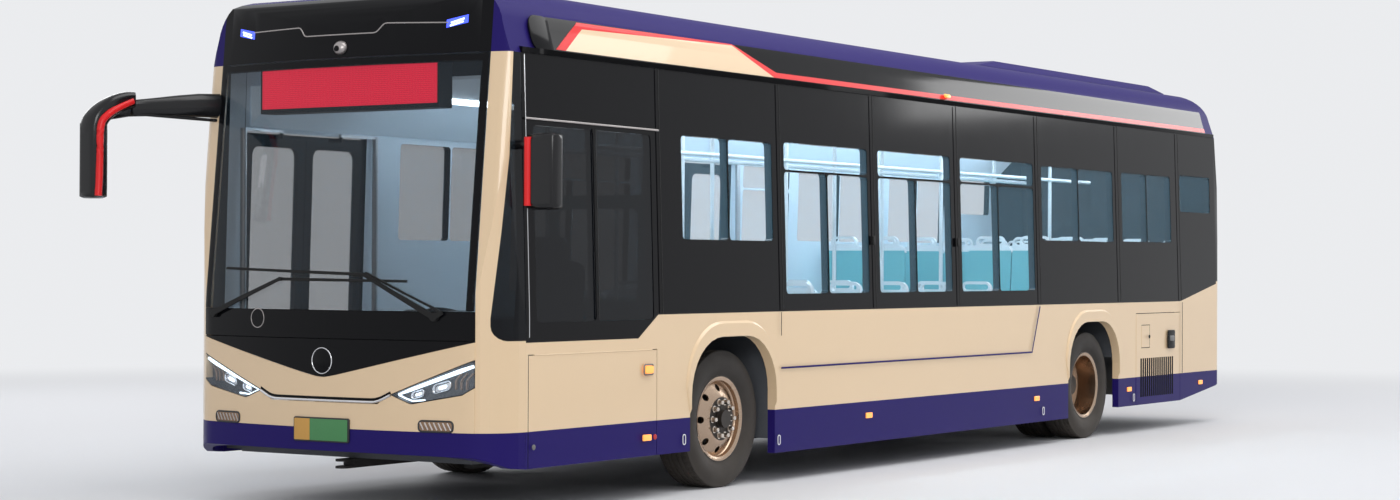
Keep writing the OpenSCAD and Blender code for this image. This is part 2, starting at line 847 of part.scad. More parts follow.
// Headlamps: a bowl with three projectors and a light bar on its floor, closed by a clear cover
lamp_depth = 80;
lamp_wall = 8;
lens_t = 4;
projector_r = 40;
projector_sink = 24;
PROJECTORS = [[mask_half - 345, 757], [mask_half - 232, 792], [mask_half - 105, 828]];
LIGHT_BAR = [[mask_half - 12, 912], [lamp_inner + 48, 738], [lamp_inner + 66, 731], [mask_half - 12, 892]];
module lamp_layer(outer, inner) {
  difference() {
    front_solid(outer, nose_cut);
    front_solid(inner, nose_cut + 1);
  }
}
module headlamps() {
  color([0.9, 0.95, 1]) for (s = SIDES) {
    intersection() {
      difference() {
        lamp_layer(0, lamp_depth);
        intersection() {
          lamp_layer(-1, lamp_depth - lamp_wall);
          through_front(nose_cut) headlamp_outline(s, -lamp_wall);
        }
      }
      through_front(nose_cut) headlamp_outline(s, -seat_gap);
      along(-over, nose_cut) translate([-mask_half, 0]) square([2 * mask_half, roof_z]);
    }
    intersection() {
      lamp_layer(projector_sink, lamp_depth - lamp_wall + 1);
      through_front(nose_cut) scale([s, 1]) for (p = PROJECTORS) difference() {
        polygon(disc(p, projector_r));
        polygon(disc(p, projector_r - lamp_wall));
      }
    }
    intersection() {
      lamp_layer(lamp_depth / 2, lamp_depth - lamp_wall + 1);
      through_front(nose_cut) scale([s, 1]) for (p = PROJECTORS) polygon(disc(p, projector_r - 2 * lamp_wall));
    }
    intersection() {
      lamp_layer(lamp_wall, lamp_depth - lamp_wall + 1);
      through_front(nose_cut) scale([s, 1]) polygon(LIGHT_BAR);
    }
    intersection() {
      lamp_layer(0, lens_t);
      through_front(nose_cut) headlamp_outline(s, -lamp_wall - seat_gap);
    }
  }
}

module front_moulding() {
  color([0.6, 0.6, 0.62]) intersection() {
    front_shell(nose_cut);
    through_front(nose_cut) moulding_outline(-seat_gap);
  }
}

module fog_lamps() {
  color([0.6, 0.5, 0.4]) intersection() {
    front_shell(nose_cut);
    through_front(nose_cut) for (s = SIDES) fog_outline(s, -seat_gap);
  }
}

// Amber side markers in a row on both skirts; one more lies behind the front door
MARKERS_AT = [front_axle_at + 1922, rear_axle_at - 1209, rear_axle_at + 792, body_l - 579];
first_right_marker = [front_axle_at - 808];
marker_z = 410;
marker_out = 12;
module marker_lamps() {
  color([0.95, 0.55, 0.1]) for (s = SIDES, d = s == RIGHT ? concat(first_right_marker, MARKERS_AT) : MARKERS_AT)
    translate([at(d), s * (half_w + marker_out / 2), marker_z]) cube([90, marker_out, 40], center = true);
}

// Rear end
rear_window_low = 1650;
rear_window_top = 2600;
rear_window_half = half_w - 395;
lid_low = 560;
lid_top = 1500;
lid_half = half_w - 375;
rear_lamp_out = half_w - 175;
rear_lamp_w = 100;
module rear_shell(d0, inner = wall) {
  difference() {
    rear_solid(0, d0);
    rear_solid(inner, d0 - 1);
  }
}
module through_rear(d0 = side_end) {
  along(d0, body_l + over) children();
}
module rear_cap_panel() {
  color(roof_blue) intersection() {
    rear_shell(roof_end);
    translate([at(roof_end), -body_w, eave_z]) cube([rear_cap + over, 2 * body_w, roof_z]);
  }
}
module rear_wall() {
  color(cream) intersection() {
    rear_shell(side_end);
    through_rear() difference() {
      translate([-body_w, skirt_top]) square([2 * body_w, eave_z - skirt_top]);
      polygon(rounded(-rear_window_half, rear_window_low, rear_window_half, rear_window_top, 60));
      polygon(rounded(-lid_half, lid_low, lid_half, lid_top, 20));
      for (s = SIDES) rear_lamp_outline(s);
    }
  }
}
module rear_lamp_outline(s, gap = 0) {
  scale([s, 1]) polygon(rounded(rear_lamp_out - rear_lamp_w - gap, 700 - gap, rear_lamp_out + gap, 1400 + gap, 20));
}
module rear_window() {
  color([0.3, 0.4, 0.45, 0.5]) intersection() {
    rear_shell(side_end, pane_t);
    through_rear() polygon(rounded(-rear_window_half + seat_gap, rear_window_low + seat_gap,
      rear_window_half - seat_gap, rear_window_top - seat_gap, 60 - seat_gap));
  }
}
module rear_lamps() {
  color([0.8, 0.1, 0.1]) intersection() {
    rear_shell(side_end);
    through_rear() for (s = SIDES) rear_lamp_outline(s, -seat_gap);
  }
}
louvre_half = 520;
louvre_low = 900;
louvre_pitch = 44;
louvre_slot = 20;
louvre_count = 11;
module motor_lid() {
  color(cream) {
    intersection() {
      rear_shell(side_end, flap_t);
      through_rear() difference() {
        polygon(rounded(-lid_half + flap_gap, lid_low + flap_gap, lid_half - flap_gap, lid_top - flap_gap, 20));
        for (i = [0:louvre_count - 1])
          translate([-louvre_half, louvre_low + i * louvre_pitch]) square([2 * louvre_half, louvre_slot]);
      }
    }
    translate([at(body_l), 0, lid_top - flap_gap + hinge_drop])
      rotate([90, 0, 0]) cylinder(r = hinge_r, h = 2 * lid_half - 160, center = true, $fn = 24);
  }
}

// Flaps on the left side
module side_flap(d0, w, top, low) {
  difference() {
    wall_slab(LEFT, low, top - flap_gap, d0 + flap_gap, d0 + w - flap_gap, t = flap_t);
    through_side(LEFT) arches();
  }
}
// Hinge rod of a flap: it lies in the gap, fused to the flap and just clear of the panel
hinge_drop = 2;
hinge_air = 0.3;
hinge_r = flap_gap - hinge_drop - hinge_air;
module upright_rod(d, z0, z1) {
  translate([at(d) + flap_gap - hinge_drop, -half_w, z0]) cylinder(r = hinge_r, h = z1 - z0, $fn = 24);
}
module service_flap() {
  color(cream) {
    side_flap(flap_at, flap_w, flap_top, front_low);
    translate([at(flap_at + 60), -half_w, flap_top - flap_gap + hinge_drop])
      rotate([0, 90, 0]) cylinder(r = hinge_r, h = flap_w - 120, $fn = 24);
  }
}
charge_at = 9983;
charge_w = 205;
charge_low = 781;
charge_h = 217;
grille_at = 9964;
grille_w = 802;
grille_low = 325;
grille_h = 360;
grille_slots = 16;
grille_bar = 14;
// Recess with the charging socket behind the charging flap
recess_depth = 80;
recess_wall = 6;
socket_r = 42;
socket_pin_r = 7;
module charge_recess() {
  y = half_w - flap_t;
  difference() {
    translate([at(charge_at) - recess_wall, -y - 1, charge_low - recess_wall])
      cube([charge_w + 2 * recess_wall, recess_depth - flap_t + 1, charge_h + 2 * recess_wall]);
    translate([at(charge_at), -y - 2, charge_low])
      cube([charge_w, recess_depth - flap_t + 2 - recess_wall, charge_h]);
  }
  translate([at(charge_at) + charge_w / 2, recess_depth - recess_wall - half_w + 1, charge_low + charge_h / 2])
    rotate([90, 0, 0]) difference() {
      cylinder(r = socket_r, h = 36, $fn = 48);
      translate([0, 0, 10]) cylinder(r = socket_r - recess_wall, h = 27, $fn = 48);
      for (a = [0:60:300]) rotate([0, 0, a]) translate([socket_r / 2, 0, 4])
        cylinder(r = socket_pin_r, h = 20, $fn = 16);
    }
}
module equipment_door() {
  color(cream) charge_recess();
  color(cream) upright_rod(equip_at, rear_low + 40, equip_top - 40);
  color(cream) difference() {
    side_flap(equip_at, equip_w, equip_top, rear_low);
    through_side(LEFT) {
      translate([at(charge_at), charge_low]) square([charge_w, charge_h]);
      pitch = (grille_w + grille_bar) / grille_slots;
      for (i = [0:grille_slots - 1])
        translate([at(grille_at) + i * pitch, grille_low]) square([pitch - grille_bar, grille_h]);
    }
  }
}
module charge_flap() {
  color(cream) {
    wall_slab(LEFT, charge_low + flap_gap, charge_low + charge_h - flap_gap,
      charge_at + flap_gap, charge_at + charge_w - flap_gap, t = 16);
    upright_rod(charge_at, charge_low + 20, charge_low + charge_h - 20);
  }
}

// Doors: two leaves to a doorway. Each hangs on two arms of a turning post beside the jamb. The lower arm
// passes below the leaf and the upper arm above it, because the leaf turns the other way and crosses them.
leaf_in = 6;
arm_t = 20;
arm_air = 6;
leaf_low = floor_z + arm_t + 2 * arm_air;
leaf_high = door_top - 8;
leaf_y = half_w - leaf_in - leaf_t / 2;
post_y = leaf_y - post_inset;
post_off = 52;
hub_r = 14;
hub_h = 36;
door_pin_r = 6;
// Leaf length, and length of the arms that carry it at its hubs
function leaf_len(w) = w / 2 - jamb_gap - leaf_gap / 2;
function arm_len(w) = (w / 2 + post_off + 50) / 1.95;
// Place of a post behind the nose, beyond the doorway's front end (-1) or rear end (1)
function post_at(d, w, end) = end < 0 ? d - post_off : d + w + post_off;
function hub_at(d, w, end) = post_at(d, w, end) - end * arm_len(w);
// Arms, each with its underside and the underside of the hub that its pin turns in
ARMS = [
  [leaf_low - arm_air - arm_t, leaf_low - arm_air + hinge_air],
  [leaf_high + arm_air, leaf_high + arm_air - hinge_air - hub_h]
];
// Window of a leaf, and its pane
leaf_stile = 70;
leaf_sill = 88;
leaf_pane_r = 60;
module leaf_window(d0, w, gap = 0) {
  through_side(RIGHT) polygon(rounded(at(d0) + leaf_stile + gap, leaf_low + leaf_sill + gap,
    at(d0) + w - leaf_stile - gap, leaf_high - leaf_sill - gap, leaf_pane_r - gap));
}
module door_leaf(d, w, end) {
  d0 = end < 0 ? d + jamb_gap : d + w - jamb_gap - leaf_len(w);
  difference() {
    wall_slab(RIGHT, leaf_low, leaf_high, d0, d0 + leaf_len(w), t = leaf_t, o = leaf_in);
    leaf_window(d0, leaf_len(w));
  }
  intersection() {
    wall_slab(RIGHT, leaf_low, leaf_high, d0, d0 + leaf_len(w), t = pane_t, o = leaf_in + leaf_t / 4);
    leaf_window(d0, leaf_len(w), seat_gap);
  }
  for (a = ARMS) translate([at(hub_at(d, w, end)), 0, 0]) difference() {
    union() {
      translate([0, post_y, a[1]]) cylinder(r = hub_r, h = hub_h, $fn = 32);
      translate([-hub_r, post_y, max(a[1], leaf_low)])
        cube([2 * hub_r, side_half(a[1]) - leaf_in - leaf_t / 2 - post_y,
          min(a[1] + hub_h, leaf_high) - max(a[1], leaf_low)]);
    }
    translate([0, post_y, a[1] - 1]) cylinder(r = door_pin_r + hinge_air, h = hub_h + 2, $fn = 32);
  }
}
module door_post(d, w, end) {
  translate([at(post_at(d, w, end)), post_y, floor_z])
    cylinder(r = post_r, h = ARMS[1][0] + arm_t - floor_z, $fn = 48);
  for (a = ARMS) translate([at(hub_at(d, w, end)), post_y, 0]) {
    translate([0, 0, a[0]]) cylinder(r = hub_r, h = arm_t, $fn = 32);
    translate([0, 0, min(a[0], a[1])]) cylinder(r = door_pin_r, h = hub_h + arm_t, $fn = 32);
    translate([end < 0 ? -arm_len(w) : 0, -hub_r, a[0]]) cube([arm_len(w), 2 * hub_r, arm_t]);
  }
}
module front_door_post_a() {
  color(metal) door_post(front_door_at, front_door_w, -1);
}
module front_door_leaf_a() {
  color(gloss_black) door_leaf(front_door_at, front_door_w, -1);
}
module front_door_post_b() {
  color(metal) door_post(front_door_at, front_door_w, 1);
}
module front_door_leaf_b() {
  color(gloss_black) door_leaf(front_door_at, front_door_w, 1);
}
module middle_door_post_a() {
  color(metal) door_post(middle_door_at, middle_door_w, -1);
}
module middle_door_leaf_a() {
  color(gloss_black) door_leaf(middle_door_at, middle_door_w, -1);
}
module middle_door_post_b() {
  color(metal) door_post(middle_door_at, middle_door_w, 1);
}
module middle_door_leaf_b() {
  color(gloss_black) door_leaf(middle_door_at, middle_door_w, 1);
}

// Wheels
axle_z = tyre_d / 2;
flange_w = 12;
module tyre(y) {
  r = rim_d / 2;
  edge = tyre_w * 0.4;
  half = [
    [tyre_d / 2, tyre_w * 0.38], [tyre_d / 2 - 12, tyre_w * 0.44], [tyre_d / 2 - 60, tyre_w / 2],
    [r + 60, tyre_w / 2], [r + 0.4, edge - 2], [r + 0.4, edge - flange_w - 1], [r - 19.5, edge - 2 * flange_w - 1]
  ];
  translate([0, y, 0]) rotate([90, 0, 0]) rotate_extrude($fn = 96) polygon(concat(
    [for (i = [len(half) - 1:-1:0]) [half[i][0], -half[i][1]]], half
  ));
}
// Rim whose disc stands disc_out from the tyre's middle, on the side given by face
barrel_t = 12;
disc_t = 20;
hub_face = 50;
module rim(y, face, disc_out) {
  r = rim_d / 2;
  b = r - 22;
  edge = tyre_w * 0.40;
  translate([0, y, 0]) rotate([face > 0 ? -90 : 90, 0, 0]) difference() {
    rotate_extrude($fn = 96) polygon([
      [spindle_r + 0.3, disc_out - hub_face], [spindle_r + 0.3, disc_out], [150, disc_out],
      [195, disc_out - 22], [b - barrel_t - 6, disc_out - 60], [b - barrel_t, disc_out - 60 + 8],
      [b - barrel_t, edge - 10], [r - 8, edge], [r, edge], [r, edge - flange_w], [b + 2, edge - 2 * flange_w],
      [b, -edge + 2 * flange_w], [r, -edge + flange_w], [r, -edge], [r - 8, -edge], [b - barrel_t, -edge + 10],
      [b - barrel_t, disc_out - 60 - disc_t], [190, disc_out - 22 - disc_t], [148, disc_out - disc_t],
      [85, disc_out - disc_t], [85, disc_out - hub_face]
    ]);
    for (i = [0:hole_count - 1]) rotate([0, 0, i * 360 / hole_count])
      translate([214, 0, disc_out - 120]) cylinder(r = 24, h = 160, $fn = 32);
  }
}
// Hub and its cap, from z0 to z1 out from the tyre's middle
module hub(y, face, z0, z1, r, cap_r, bore_r, bore_to) {
  translate([0, y, 0]) rotate([face > 0 ? -90 : 90, 0, 0]) difference() {
    union() {
      translate([0, 0, z0]) cylinder(r = r, h = z1 - z0 - 30, $fn = 64);
      translate([0, 0, z1 - 30]) cylinder(r = cap_r, h = 30, $fn = 64);
    }
    translate([0, 0, z0 - 1]) cylinder(r = bore_r, h = bore_to - z0 + 1, $fn = 64);
  }
}
module axle_place(d, z = axle_z) {
  translate([at(d), 0, z]) children();
}
front_disc = 122;
module front_rim(side) {
  axle_place(front_axle_at) {
    rim(side * front_track_half, side, front_disc);
    hub(side * front_track_half, side, front_disc - 24, front_disc + 40, 75, 62, spindle_r + 0.3, front_disc - 20);
  }
}
module front_tyre(side) {
  axle_place(front_axle_at) tyre(side * front_track_half);
}
tube_r = 70;
rear_hub_r = 112;
module rear_rims(side) {
  axle_place(rear_axle_at) {
    rim(side * rear_track_half, -side, twin_gap / 2);
    rim(side * (rear_track_half - twin_gap), side, twin_gap / 2);
    hub(side * (rear_track_half - twin_gap / 2), side, -110, 150, rear_hub_r, 80, tube_r + 0.3, -40);
  }
}
module rear_tyres(side) {
  axle_place(rear_axle_at) {
    tyre(side * rear_track_half);
    tyre(side * (rear_track_half - twin_gap));
  }
}
module front_left_rim() {
  color(metal) front_rim(LEFT);
}
module front_left_tyre() {
  color(rubber) front_tyre(LEFT);
}
module front_right_rim() {
  color(metal) front_rim(RIGHT);
}
module front_right_tyre() {
  color(rubber) front_tyre(RIGHT);
}
module rear_left_rims() {
  color(metal) rear_rims(LEFT);
}
module rear_left_tyres() {
  color(rubber) rear_tyres(LEFT);
}
module rear_right_rims() {
  color(metal) rear_rims(RIGHT);
}
module rear_right_tyres() {
  color(rubber) rear_tyres(RIGHT);
}

// Front axle beam, with a forked end round each kingpin
pin_r = 22;
beam_h = 85;
beam_drop = 260;
spindle_r = 45;
module front_axle() {
  color(steel) axle_place(front_axle_at) difference() {
    union() {
      translate([-60, -kingpin_half + 75, -beam_drop]) cube([120, 2 * kingpin_half - 150, beam_h]);
      for (s = SIDES) translate([-rail_stop, s * rail_y - 25, -beam_drop + 15]) cube([rail_stop, 50, beam_h - 25]);
      for (s = SIDES) translate([0, s * kingpin_half, 0]) {
        translate([-35, s > 0 ? -150 : 75, -beam_drop]) cube([70, 75, beam_drop + 70]);
        translate([-35, s > 0 ? -80 : 0, -70]) cube([70, 80, 140]);
        translate([0, 0, -80]) cylinder(r = 45, h = 160, $fn = 48);
      }
    }
    for (s = SIDES) translate([0, s * kingpin_half, -90]) cylinder(r = pin_r + 0.5, h = 180, $fn = 48);
  }
}
steer_arm = 200;
tie_drop = 205;
ball_r = 10;
module knuckle(side) {
  axle_place(front_axle_at) translate([0, side * kingpin_half, 0]) {
    translate([0, 0, -120]) cylinder(r = pin_r, h = 240, $fn = 48);
    for (z = [-118, 83]) {
      translate([0, 0, z]) cylinder(r = 45, h = 35, $fn = 48);
      translate([-35, side > 0 ? 0 : -78, z]) cube([70, 78, 35]);
    }
    translate([-35, side > 0 ? 48 : -78, -118]) cube([70, 30, 236]);
    rotate([side > 0 ? -90 : 90, 0, 0]) translate([0, 0, 60])
      cylinder(r = spindle_r, h = front_track_half + front_disc - 25 - kingpin_half - 60, $fn = 48);
    translate([0, -20, -118]) cube([steer_arm + 20, 40, 20]);
    translate([steer_arm, 0, -tie_drop - 25]) cylinder(r = ball_r, h = tie_drop - 80, $fn = 32);
  }
}
module left_knuckle() {
  color(steel) knuckle(LEFT);
}
module right_knuckle() {
  color(steel) knuckle(RIGHT);
}
module tie_rod() {
  color(steel) axle_place(front_axle_at) difference() {
    union() {
      translate([steer_arm, 0, -tie_drop]) rotate([90, 0, 0])
        cylinder(r = 14, h = 2 * kingpin_half, center = true, $fn = 32);
      for (s = SIDES) translate([steer_arm, s * kingpin_half, -tie_drop - 16]) cylinder(r = 24, h = 32, $fn = 32);
    }
    for (s = SIDES) translate([steer_arm, s * kingpin_half, -tie_drop - 50])
      cylinder(r = ball_r + 0.5, h = 100, $fn = 32);
  }
}
module rear_axle() {
  color(steel) axle_place(rear_axle_at) {
    rotate([90, 0, 0]) cylinder(r = tube_r, h = 2 * (rear_track_half - twin_gap / 2 - hub_face - hinge_air),
      center = true, $fn = 64);
    for (s = SIDES) translate([0, s * rail_y - 25, 0]) {
      translate([-60, 0, -beam_drop + 30]) cube([120, 50, beam_drop - 30]);
      translate([at(high_floor_at) - at(rear_axle_at), 0, -beam_drop + 30])
        cube([at(rear_axle_at) - at(high_floor_at), 50, 60]);
    }
    sphere(r = 190, $fn = 64);
    translate([150, -180, -170]) cube([480, 360, 340]);
  }
}

// Floor, with boxes over the wheels. The raised floor stands over the rear axle and the motor.
house_inner = 560;
house_top = 1100;
house_wall = 40;
module floor_plate(d0, d1, top, half) {
  translate([at(d0), -half, top - floor_t]) cube([d1 - d0, 2 * half, floor_t]);
}
module wheel_house(d, side, low, wall_t) {
  translate([at(d) - arch_half - wall_t, side > 0 ? house_inner - wall_t : -inner_half - (wall_t > 0 ? 0 : 1), low])
    cube([2 * (arch_half + wall_t), inner_half - house_inner + max(wall_t, 1), house_top + wall_t - low]);
}
floor_start = 300;
floor_wide = side_start + 31;
floor_nose_in = 265;
module floor() {
  color([0.45, 0.47, 0.5]) difference() {
    union() {
      floor_plate(floor_wide, high_floor_at, floor_z, inner_half);
      floor_plate(floor_start, floor_wide, floor_z, inner_half - floor_nose_in);
      floor_plate(high_floor_at, side_end, high_floor_z, inner_half);
      translate([at(high_floor_at), -inner_half, floor_z - floor_t])
        cube([floor_t, 2 * inner_half, high_floor_z - floor_z + floor_t]);
      for (s = SIDES) {
        wheel_house(front_axle_at, s, floor_z - floor_t, house_wall);
        wheel_house(rear_axle_at, s, high_floor_z - floor_t, house_wall);
      }
    }
    for (d = [front_axle_at, rear_axle_at], s = SIDES) wheel_house(d, s, 0, 0);
  }
}

module ceiling() {
  inner = side_half(ceiling_z + ceiling_t) - wall - hinge_air;
  color([0.85, 0.86, 0.84]) along(sign_d + 400, side_end) {
    polygon([
      [-inner, ceiling_z - 250], [-inner + 260, ceiling_z], [inner - 260, ceiling_z], [inner, ceiling_z - 250],
      [inner, ceiling_z + ceiling_t], [-inner, ceiling_z + ceiling_t]
    ]);
  }
}

// Underframe: rails that carry the axles' radius arms at their ends, cross-members, the motor with its radiator
// under the raised floor, towing jaws at both ends and pads for jacks under the rails
rail_y = 430;
rail_stop = 400;
rail_h = 90;
rail_w = 70;
rail_start = 930;
rail_low = floor_z - floor_t - rail_h;
cross_h = 60;
cross_w = 60;
module rails(d0, d1) {
  for (s = SIDES) translate([at(d0), s * rail_y - rail_w / 2, rail_low]) cube([d1 - d0, rail_w, rail_h]);
}
module cross_members(d0, d1, n) {
  for (i = [0:n]) translate([at(d0) + i * (d1 - d0 - cross_w) / n, -rail_y, rail_low + rail_h - cross_h])
    cube([cross_w, 2 * rail_y, cross_h]);
}
// Towing jaw whose pin stands at d. Its bar runs on by run, ahead (-1) or behind (1).
tow_pin_r = 20;
tow_plate = 14;
tow_gap = 30;
tow_r = 45;
tow_slot = 15;
module tow_jaw(d, low, way, run) {
  h = 2 * tow_plate + tow_gap;
  translate([at(d), 0, low]) difference() {
    union() {
      cylinder(r = tow_r, h = h, $fn = 48);
      translate([way > 0 ? 0 : -run, -tow_r, 0]) cube([run, 2 * tow_r, h]);
    }
    translate([0, 0, -1]) cylinder(r = tow_pin_r, h = h + 2, $fn = 48);
    translate([way > 0 ? -tow_r - 1 : -tow_r - tow_slot, -tow_r - 1, tow_plate])
      cube([2 * tow_r + 1 + tow_slot, 2 * tow_r + 2, tow_gap]);
  }
}
tow_front_at = 200;
tow_front_low = 250;
tow_rear_in = 110;
tow_rear_low = 300;
pad_r = 55;
pad_t = 18;
PADS_AT = [front_axle_at + 650, high_floor_at - 200];
motor_at = rear_axle_at + 800;
motor_in = 340;
motor_low = 340;
motor_half = half_w - 415;
radiator_air = 40;
module underframe() {
  front_end = front_axle_at - rail_stop;
  back_start = front_axle_at + rail_stop;
  color(steel) {
    rails(rail_start, front_end);
    cross_members(rail_start, front_end, 2);
    tow_jaw(tow_front_at, tow_front_low, 1, rail_start + cross_w - tow_front_at);
    rails(back_start, high_floor_at);
    cross_members(back_start, high_floor_at, 5);
    for (d = PADS_AT, s = SIDES) translate([at(d), s * rail_y, rail_low - pad_t])
      cylinder(r = pad_r, h = pad_t + 1, $fn = 48);
    translate([at(motor_at), -motor_half, motor_low])
      cube([body_l - motor_in - motor_at, 2 * motor_half, high_floor_z - floor_t - motor_low]);
    translate([at(grille_at), -half_w + flap_t + radiator_air, motor_low])
      cube([grille_w, half_w - flap_t - radiator_air, grille_h]);
    tow_jaw(body_l - tow_rear_in, tow_rear_low, -1, motor_in - tow_rear_in + cross_w);
  }
}

// Points of an upright ellipse about c that faces the heading a
function ring(c, a, ry, rz, n = 14) =
  [for (i = [0:n - 1]) let (t = i * 360 / n) c + [-sin(a) * ry * cos(t), cos(a) * ry * cos(t), rz * sin(t)]];
// Closed skin over a row of rings
module skin(rings) {
  n = len(rings[0]);
  m = len(rings);
  polyhedron([for (r = rings) each r], concat(
    [[for (i = [0:n - 1]) i]],
    [for (k = [0:m - 2], i = [0:n - 1]) let (j = (i + 1) % n) each [
      [k * n + i, (k + 1) * n + j, k * n + j], [k * n + i, (k + 1) * n + i, (k + 1) * n + j]
    ]],
    [[for (i = [n - 1:-1:0]) (m - 1) * n + i]]
  ));
}

// Mirrors: the left one beside its window, the right one on a long arm ahead of the nose
mirror_t = 140;
mirror_soft = 48;
mirror_rim = 12;
left_mirror_d = 300;
left_mirror_t = 120;
left_mirror_w = mirror_reach - half_w - 55;
left_mirror_z = 1865;
left_mirror_h = 465;
right_mirror_w = 160;
right_mirror_z = 1945;
right_mirror_h = 493;
arm_root_d = 320;
arm_root_y = mask_half - 5;
arm_root_z = eave_z - 262;
arm_heading = 153;
// Stations of the right mirror's arm: shares of its way ahead, outwards and down, and its half width and height
ARM = [
  [0, 0, 0, 40, 82], [0.24, 0.21, 0.016, 38, 78], [0.39, 0.37, 0.06, 34, 70], [0.57, 0.58, 0.14, 30, 60],
  [0.735, 0.77, 0.22, 28, 54], [0.87, 0.9, 0.375, 26, 50], [0.96, 0.97, 0.656, 24, 44], [1, 1, 1, 24, 36]
];
module mirror_shell(d0, y0, z0, t, w, h) {
  r = min(mirror_soft, w / 2 - 1);
  difference() {
    intersection() {
      translate([at(d0), y0, z0]) linear_extrude(h) polygon(rounded(0, 0, t, w, min(r, t / 2 - 1), 5));
      along(d0, d0 + t) polygon(rounded(y0, z0, y0 + w, z0 + h, r, 6));
      translate([at(d0), y0 + w, z0]) rotate([90, 0, 0]) linear_extrude(w) polygon(rounded(0, 0, t, h, r, 6));
    }
    along(d0 + t - mirror_rim / 2, d0 + t + 1)
      polygon(rounded(y0 + mirror_rim, z0 + mirror_rim, y0 + w - mirror_rim, z0 + h - mirror_rim, r * 0.7, 5));
  }
}
module mirrors() {
  reach_d = arm_root_d + mirror_ahead - mirror_t / 2;
  reach_y = mirror_reach - right_mirror_w / 2 - arm_root_y;
  drop = arm_root_z - right_mirror_z - right_mirror_h + mirror_soft;
  strut_z = arm_root_z - 100;
  color(gloss_black) {
    mirror_shell(left_mirror_d, -mirror_reach, left_mirror_z, left_mirror_t, left_mirror_w, left_mirror_h);
    difference() {
      skin([for (a = [[-half_w + wall, 24], [-half_w - 30, 22], [left_mirror_w / 3 - mirror_reach, 20]])
        ring([at(left_mirror_d + 60), a[0], left_mirror_z + left_mirror_h - 65], 270, a[1], a[1] * 1.3)]);
      front_solid(0);
    }
    mirror_shell(-mirror_ahead, mirror_reach - right_mirror_w, right_mirror_z,
                 mirror_t, right_mirror_w, right_mirror_h);
    difference() {
      union() {
        skin([for (a = ARM) ring(
          [at(arm_root_d - a[0] * reach_d), arm_root_y + a[1] * reach_y, arm_root_z - a[2] * drop],
          arm_heading, a[3], a[4])]);
        skin([for (a = [0, 0.35, 0.7]) ring(
          [at(arm_root_d - a * reach_d), arm_root_y + a * reach_y, strut_z + a * 40], arm_heading, 11, 11)]);
        for (a = [0.25, 0.45]) skin([for (b = [0, 1]) ring(
          [at(arm_root_d - (a + b * 0.1) * reach_d), arm_root_y + (a + b * 0.1) * reach_y,
           strut_z + a * 40 + b * 60],
          arm_heading, 9, 9)]);
        translate([at(arm_root_d - ARM[4][0] * reach_d), arm_root_y + ARM[4][1] * reach_y, strut_z + 10])
          cylinder(r = 34, h = 130, $fn = 32);
      }
      front_solid(0);
    }
  }
}

// Wipers on the glass: spindle, arm, and a blade closer to the glass that the other wiper's arm passes over
blade_out = 12;
arm_out = 26;
wiper_air = 1.5;
// Each wiper: pivot, end of the arm and far end of the blade, as [half width, height], and its second bar
WIPERS = [
  [[993, 1215], [371, 1438], [-634, 1430], []],
  [[-848, 1215], [-323, 1470], [896, 1505], [[-905, 1243], [-335, 1482]]]
];
module on_glass(out, in) {
  intersection() {
    difference() {
      front_solid(-out, nose_cut);
      front_solid(-in, nose_cut + 1);
    }
    through_front(nose_cut) children();
  }
}
module wipers() {
  color(gloss_black) for (w = WIPERS) {
    on_glass(arm_out, blade_out + wiper_air) {
      polygon(bar(w[0], w[1], 36, 20));
      if (len(w[3]) > 0) {
        polygon(bar(w[3][0], w[3][1], 12, 12));
        polygon(bar(w[0], w[3][0], 40, 26));
      }
    }
    on_glass(arm_out, hinge_air) polygon(disc(w[0], 27));
    on_glass(arm_out, hinge_air) polygon(disc(w[1], 13));
    on_glass(blade_out, hinge_air) polygon(bar(w[1], w[2], 20, 16));
  }
}

// Driver's place: a dashboard that follows the front, the wheel on its column, a seat on a plinth, a partition
driver_y = -620;
driver_step = 120;
plinth_at = 500;
dash_right = 350;
DASH = [
  [0, 1150], [250, 1190], [330, 1175], [470, 1015], [480, 960], [420, 900], [380, 700], [380, floor_z],
  [floor_start + 20, floor_z], [floor_start + 20, 980], [0, 1080]
];
SHELF = [[0, 1150], [220, 1178], [300, 1160], [345, 1100], [345, 1050], [0, 1000]];
HOOD = [[260, 1100], [300, 1235], [380, 1250], [440, 1225], [452, 1090]];
hood_half = 250;
steer_at = 570;
steer_z = 1140;
steer_tilt = 30;
steer_r = 225;
grip_r = 15;
column_r = 34;
column_l = 430;
DRIVER_SEAT = [
  [0, -60], [10, -10], [60, 10], [430, -10], [470, 30], [520, 560], [525, 760], [585, 755], [600, 560], [560, 0],
  [520, -70], [60, -80]
];
driver_seat_at = 1000;
driver_seat_w = 500;
driver_seat_h = 480;
partition_at = 1880;
partition_t = 25;
partition_in = 350;
partition_top = 2000;
module dash_piece(y0, y1, rows) {
  intersection() {
    front_solid(wall + hinge_air);
    translate([0, y1, 0]) rotate([90, 0, 0]) linear_extrude(y1 - y0) polygon([for (p = rows) [at(p[0]), p[1]]]);
  }
}
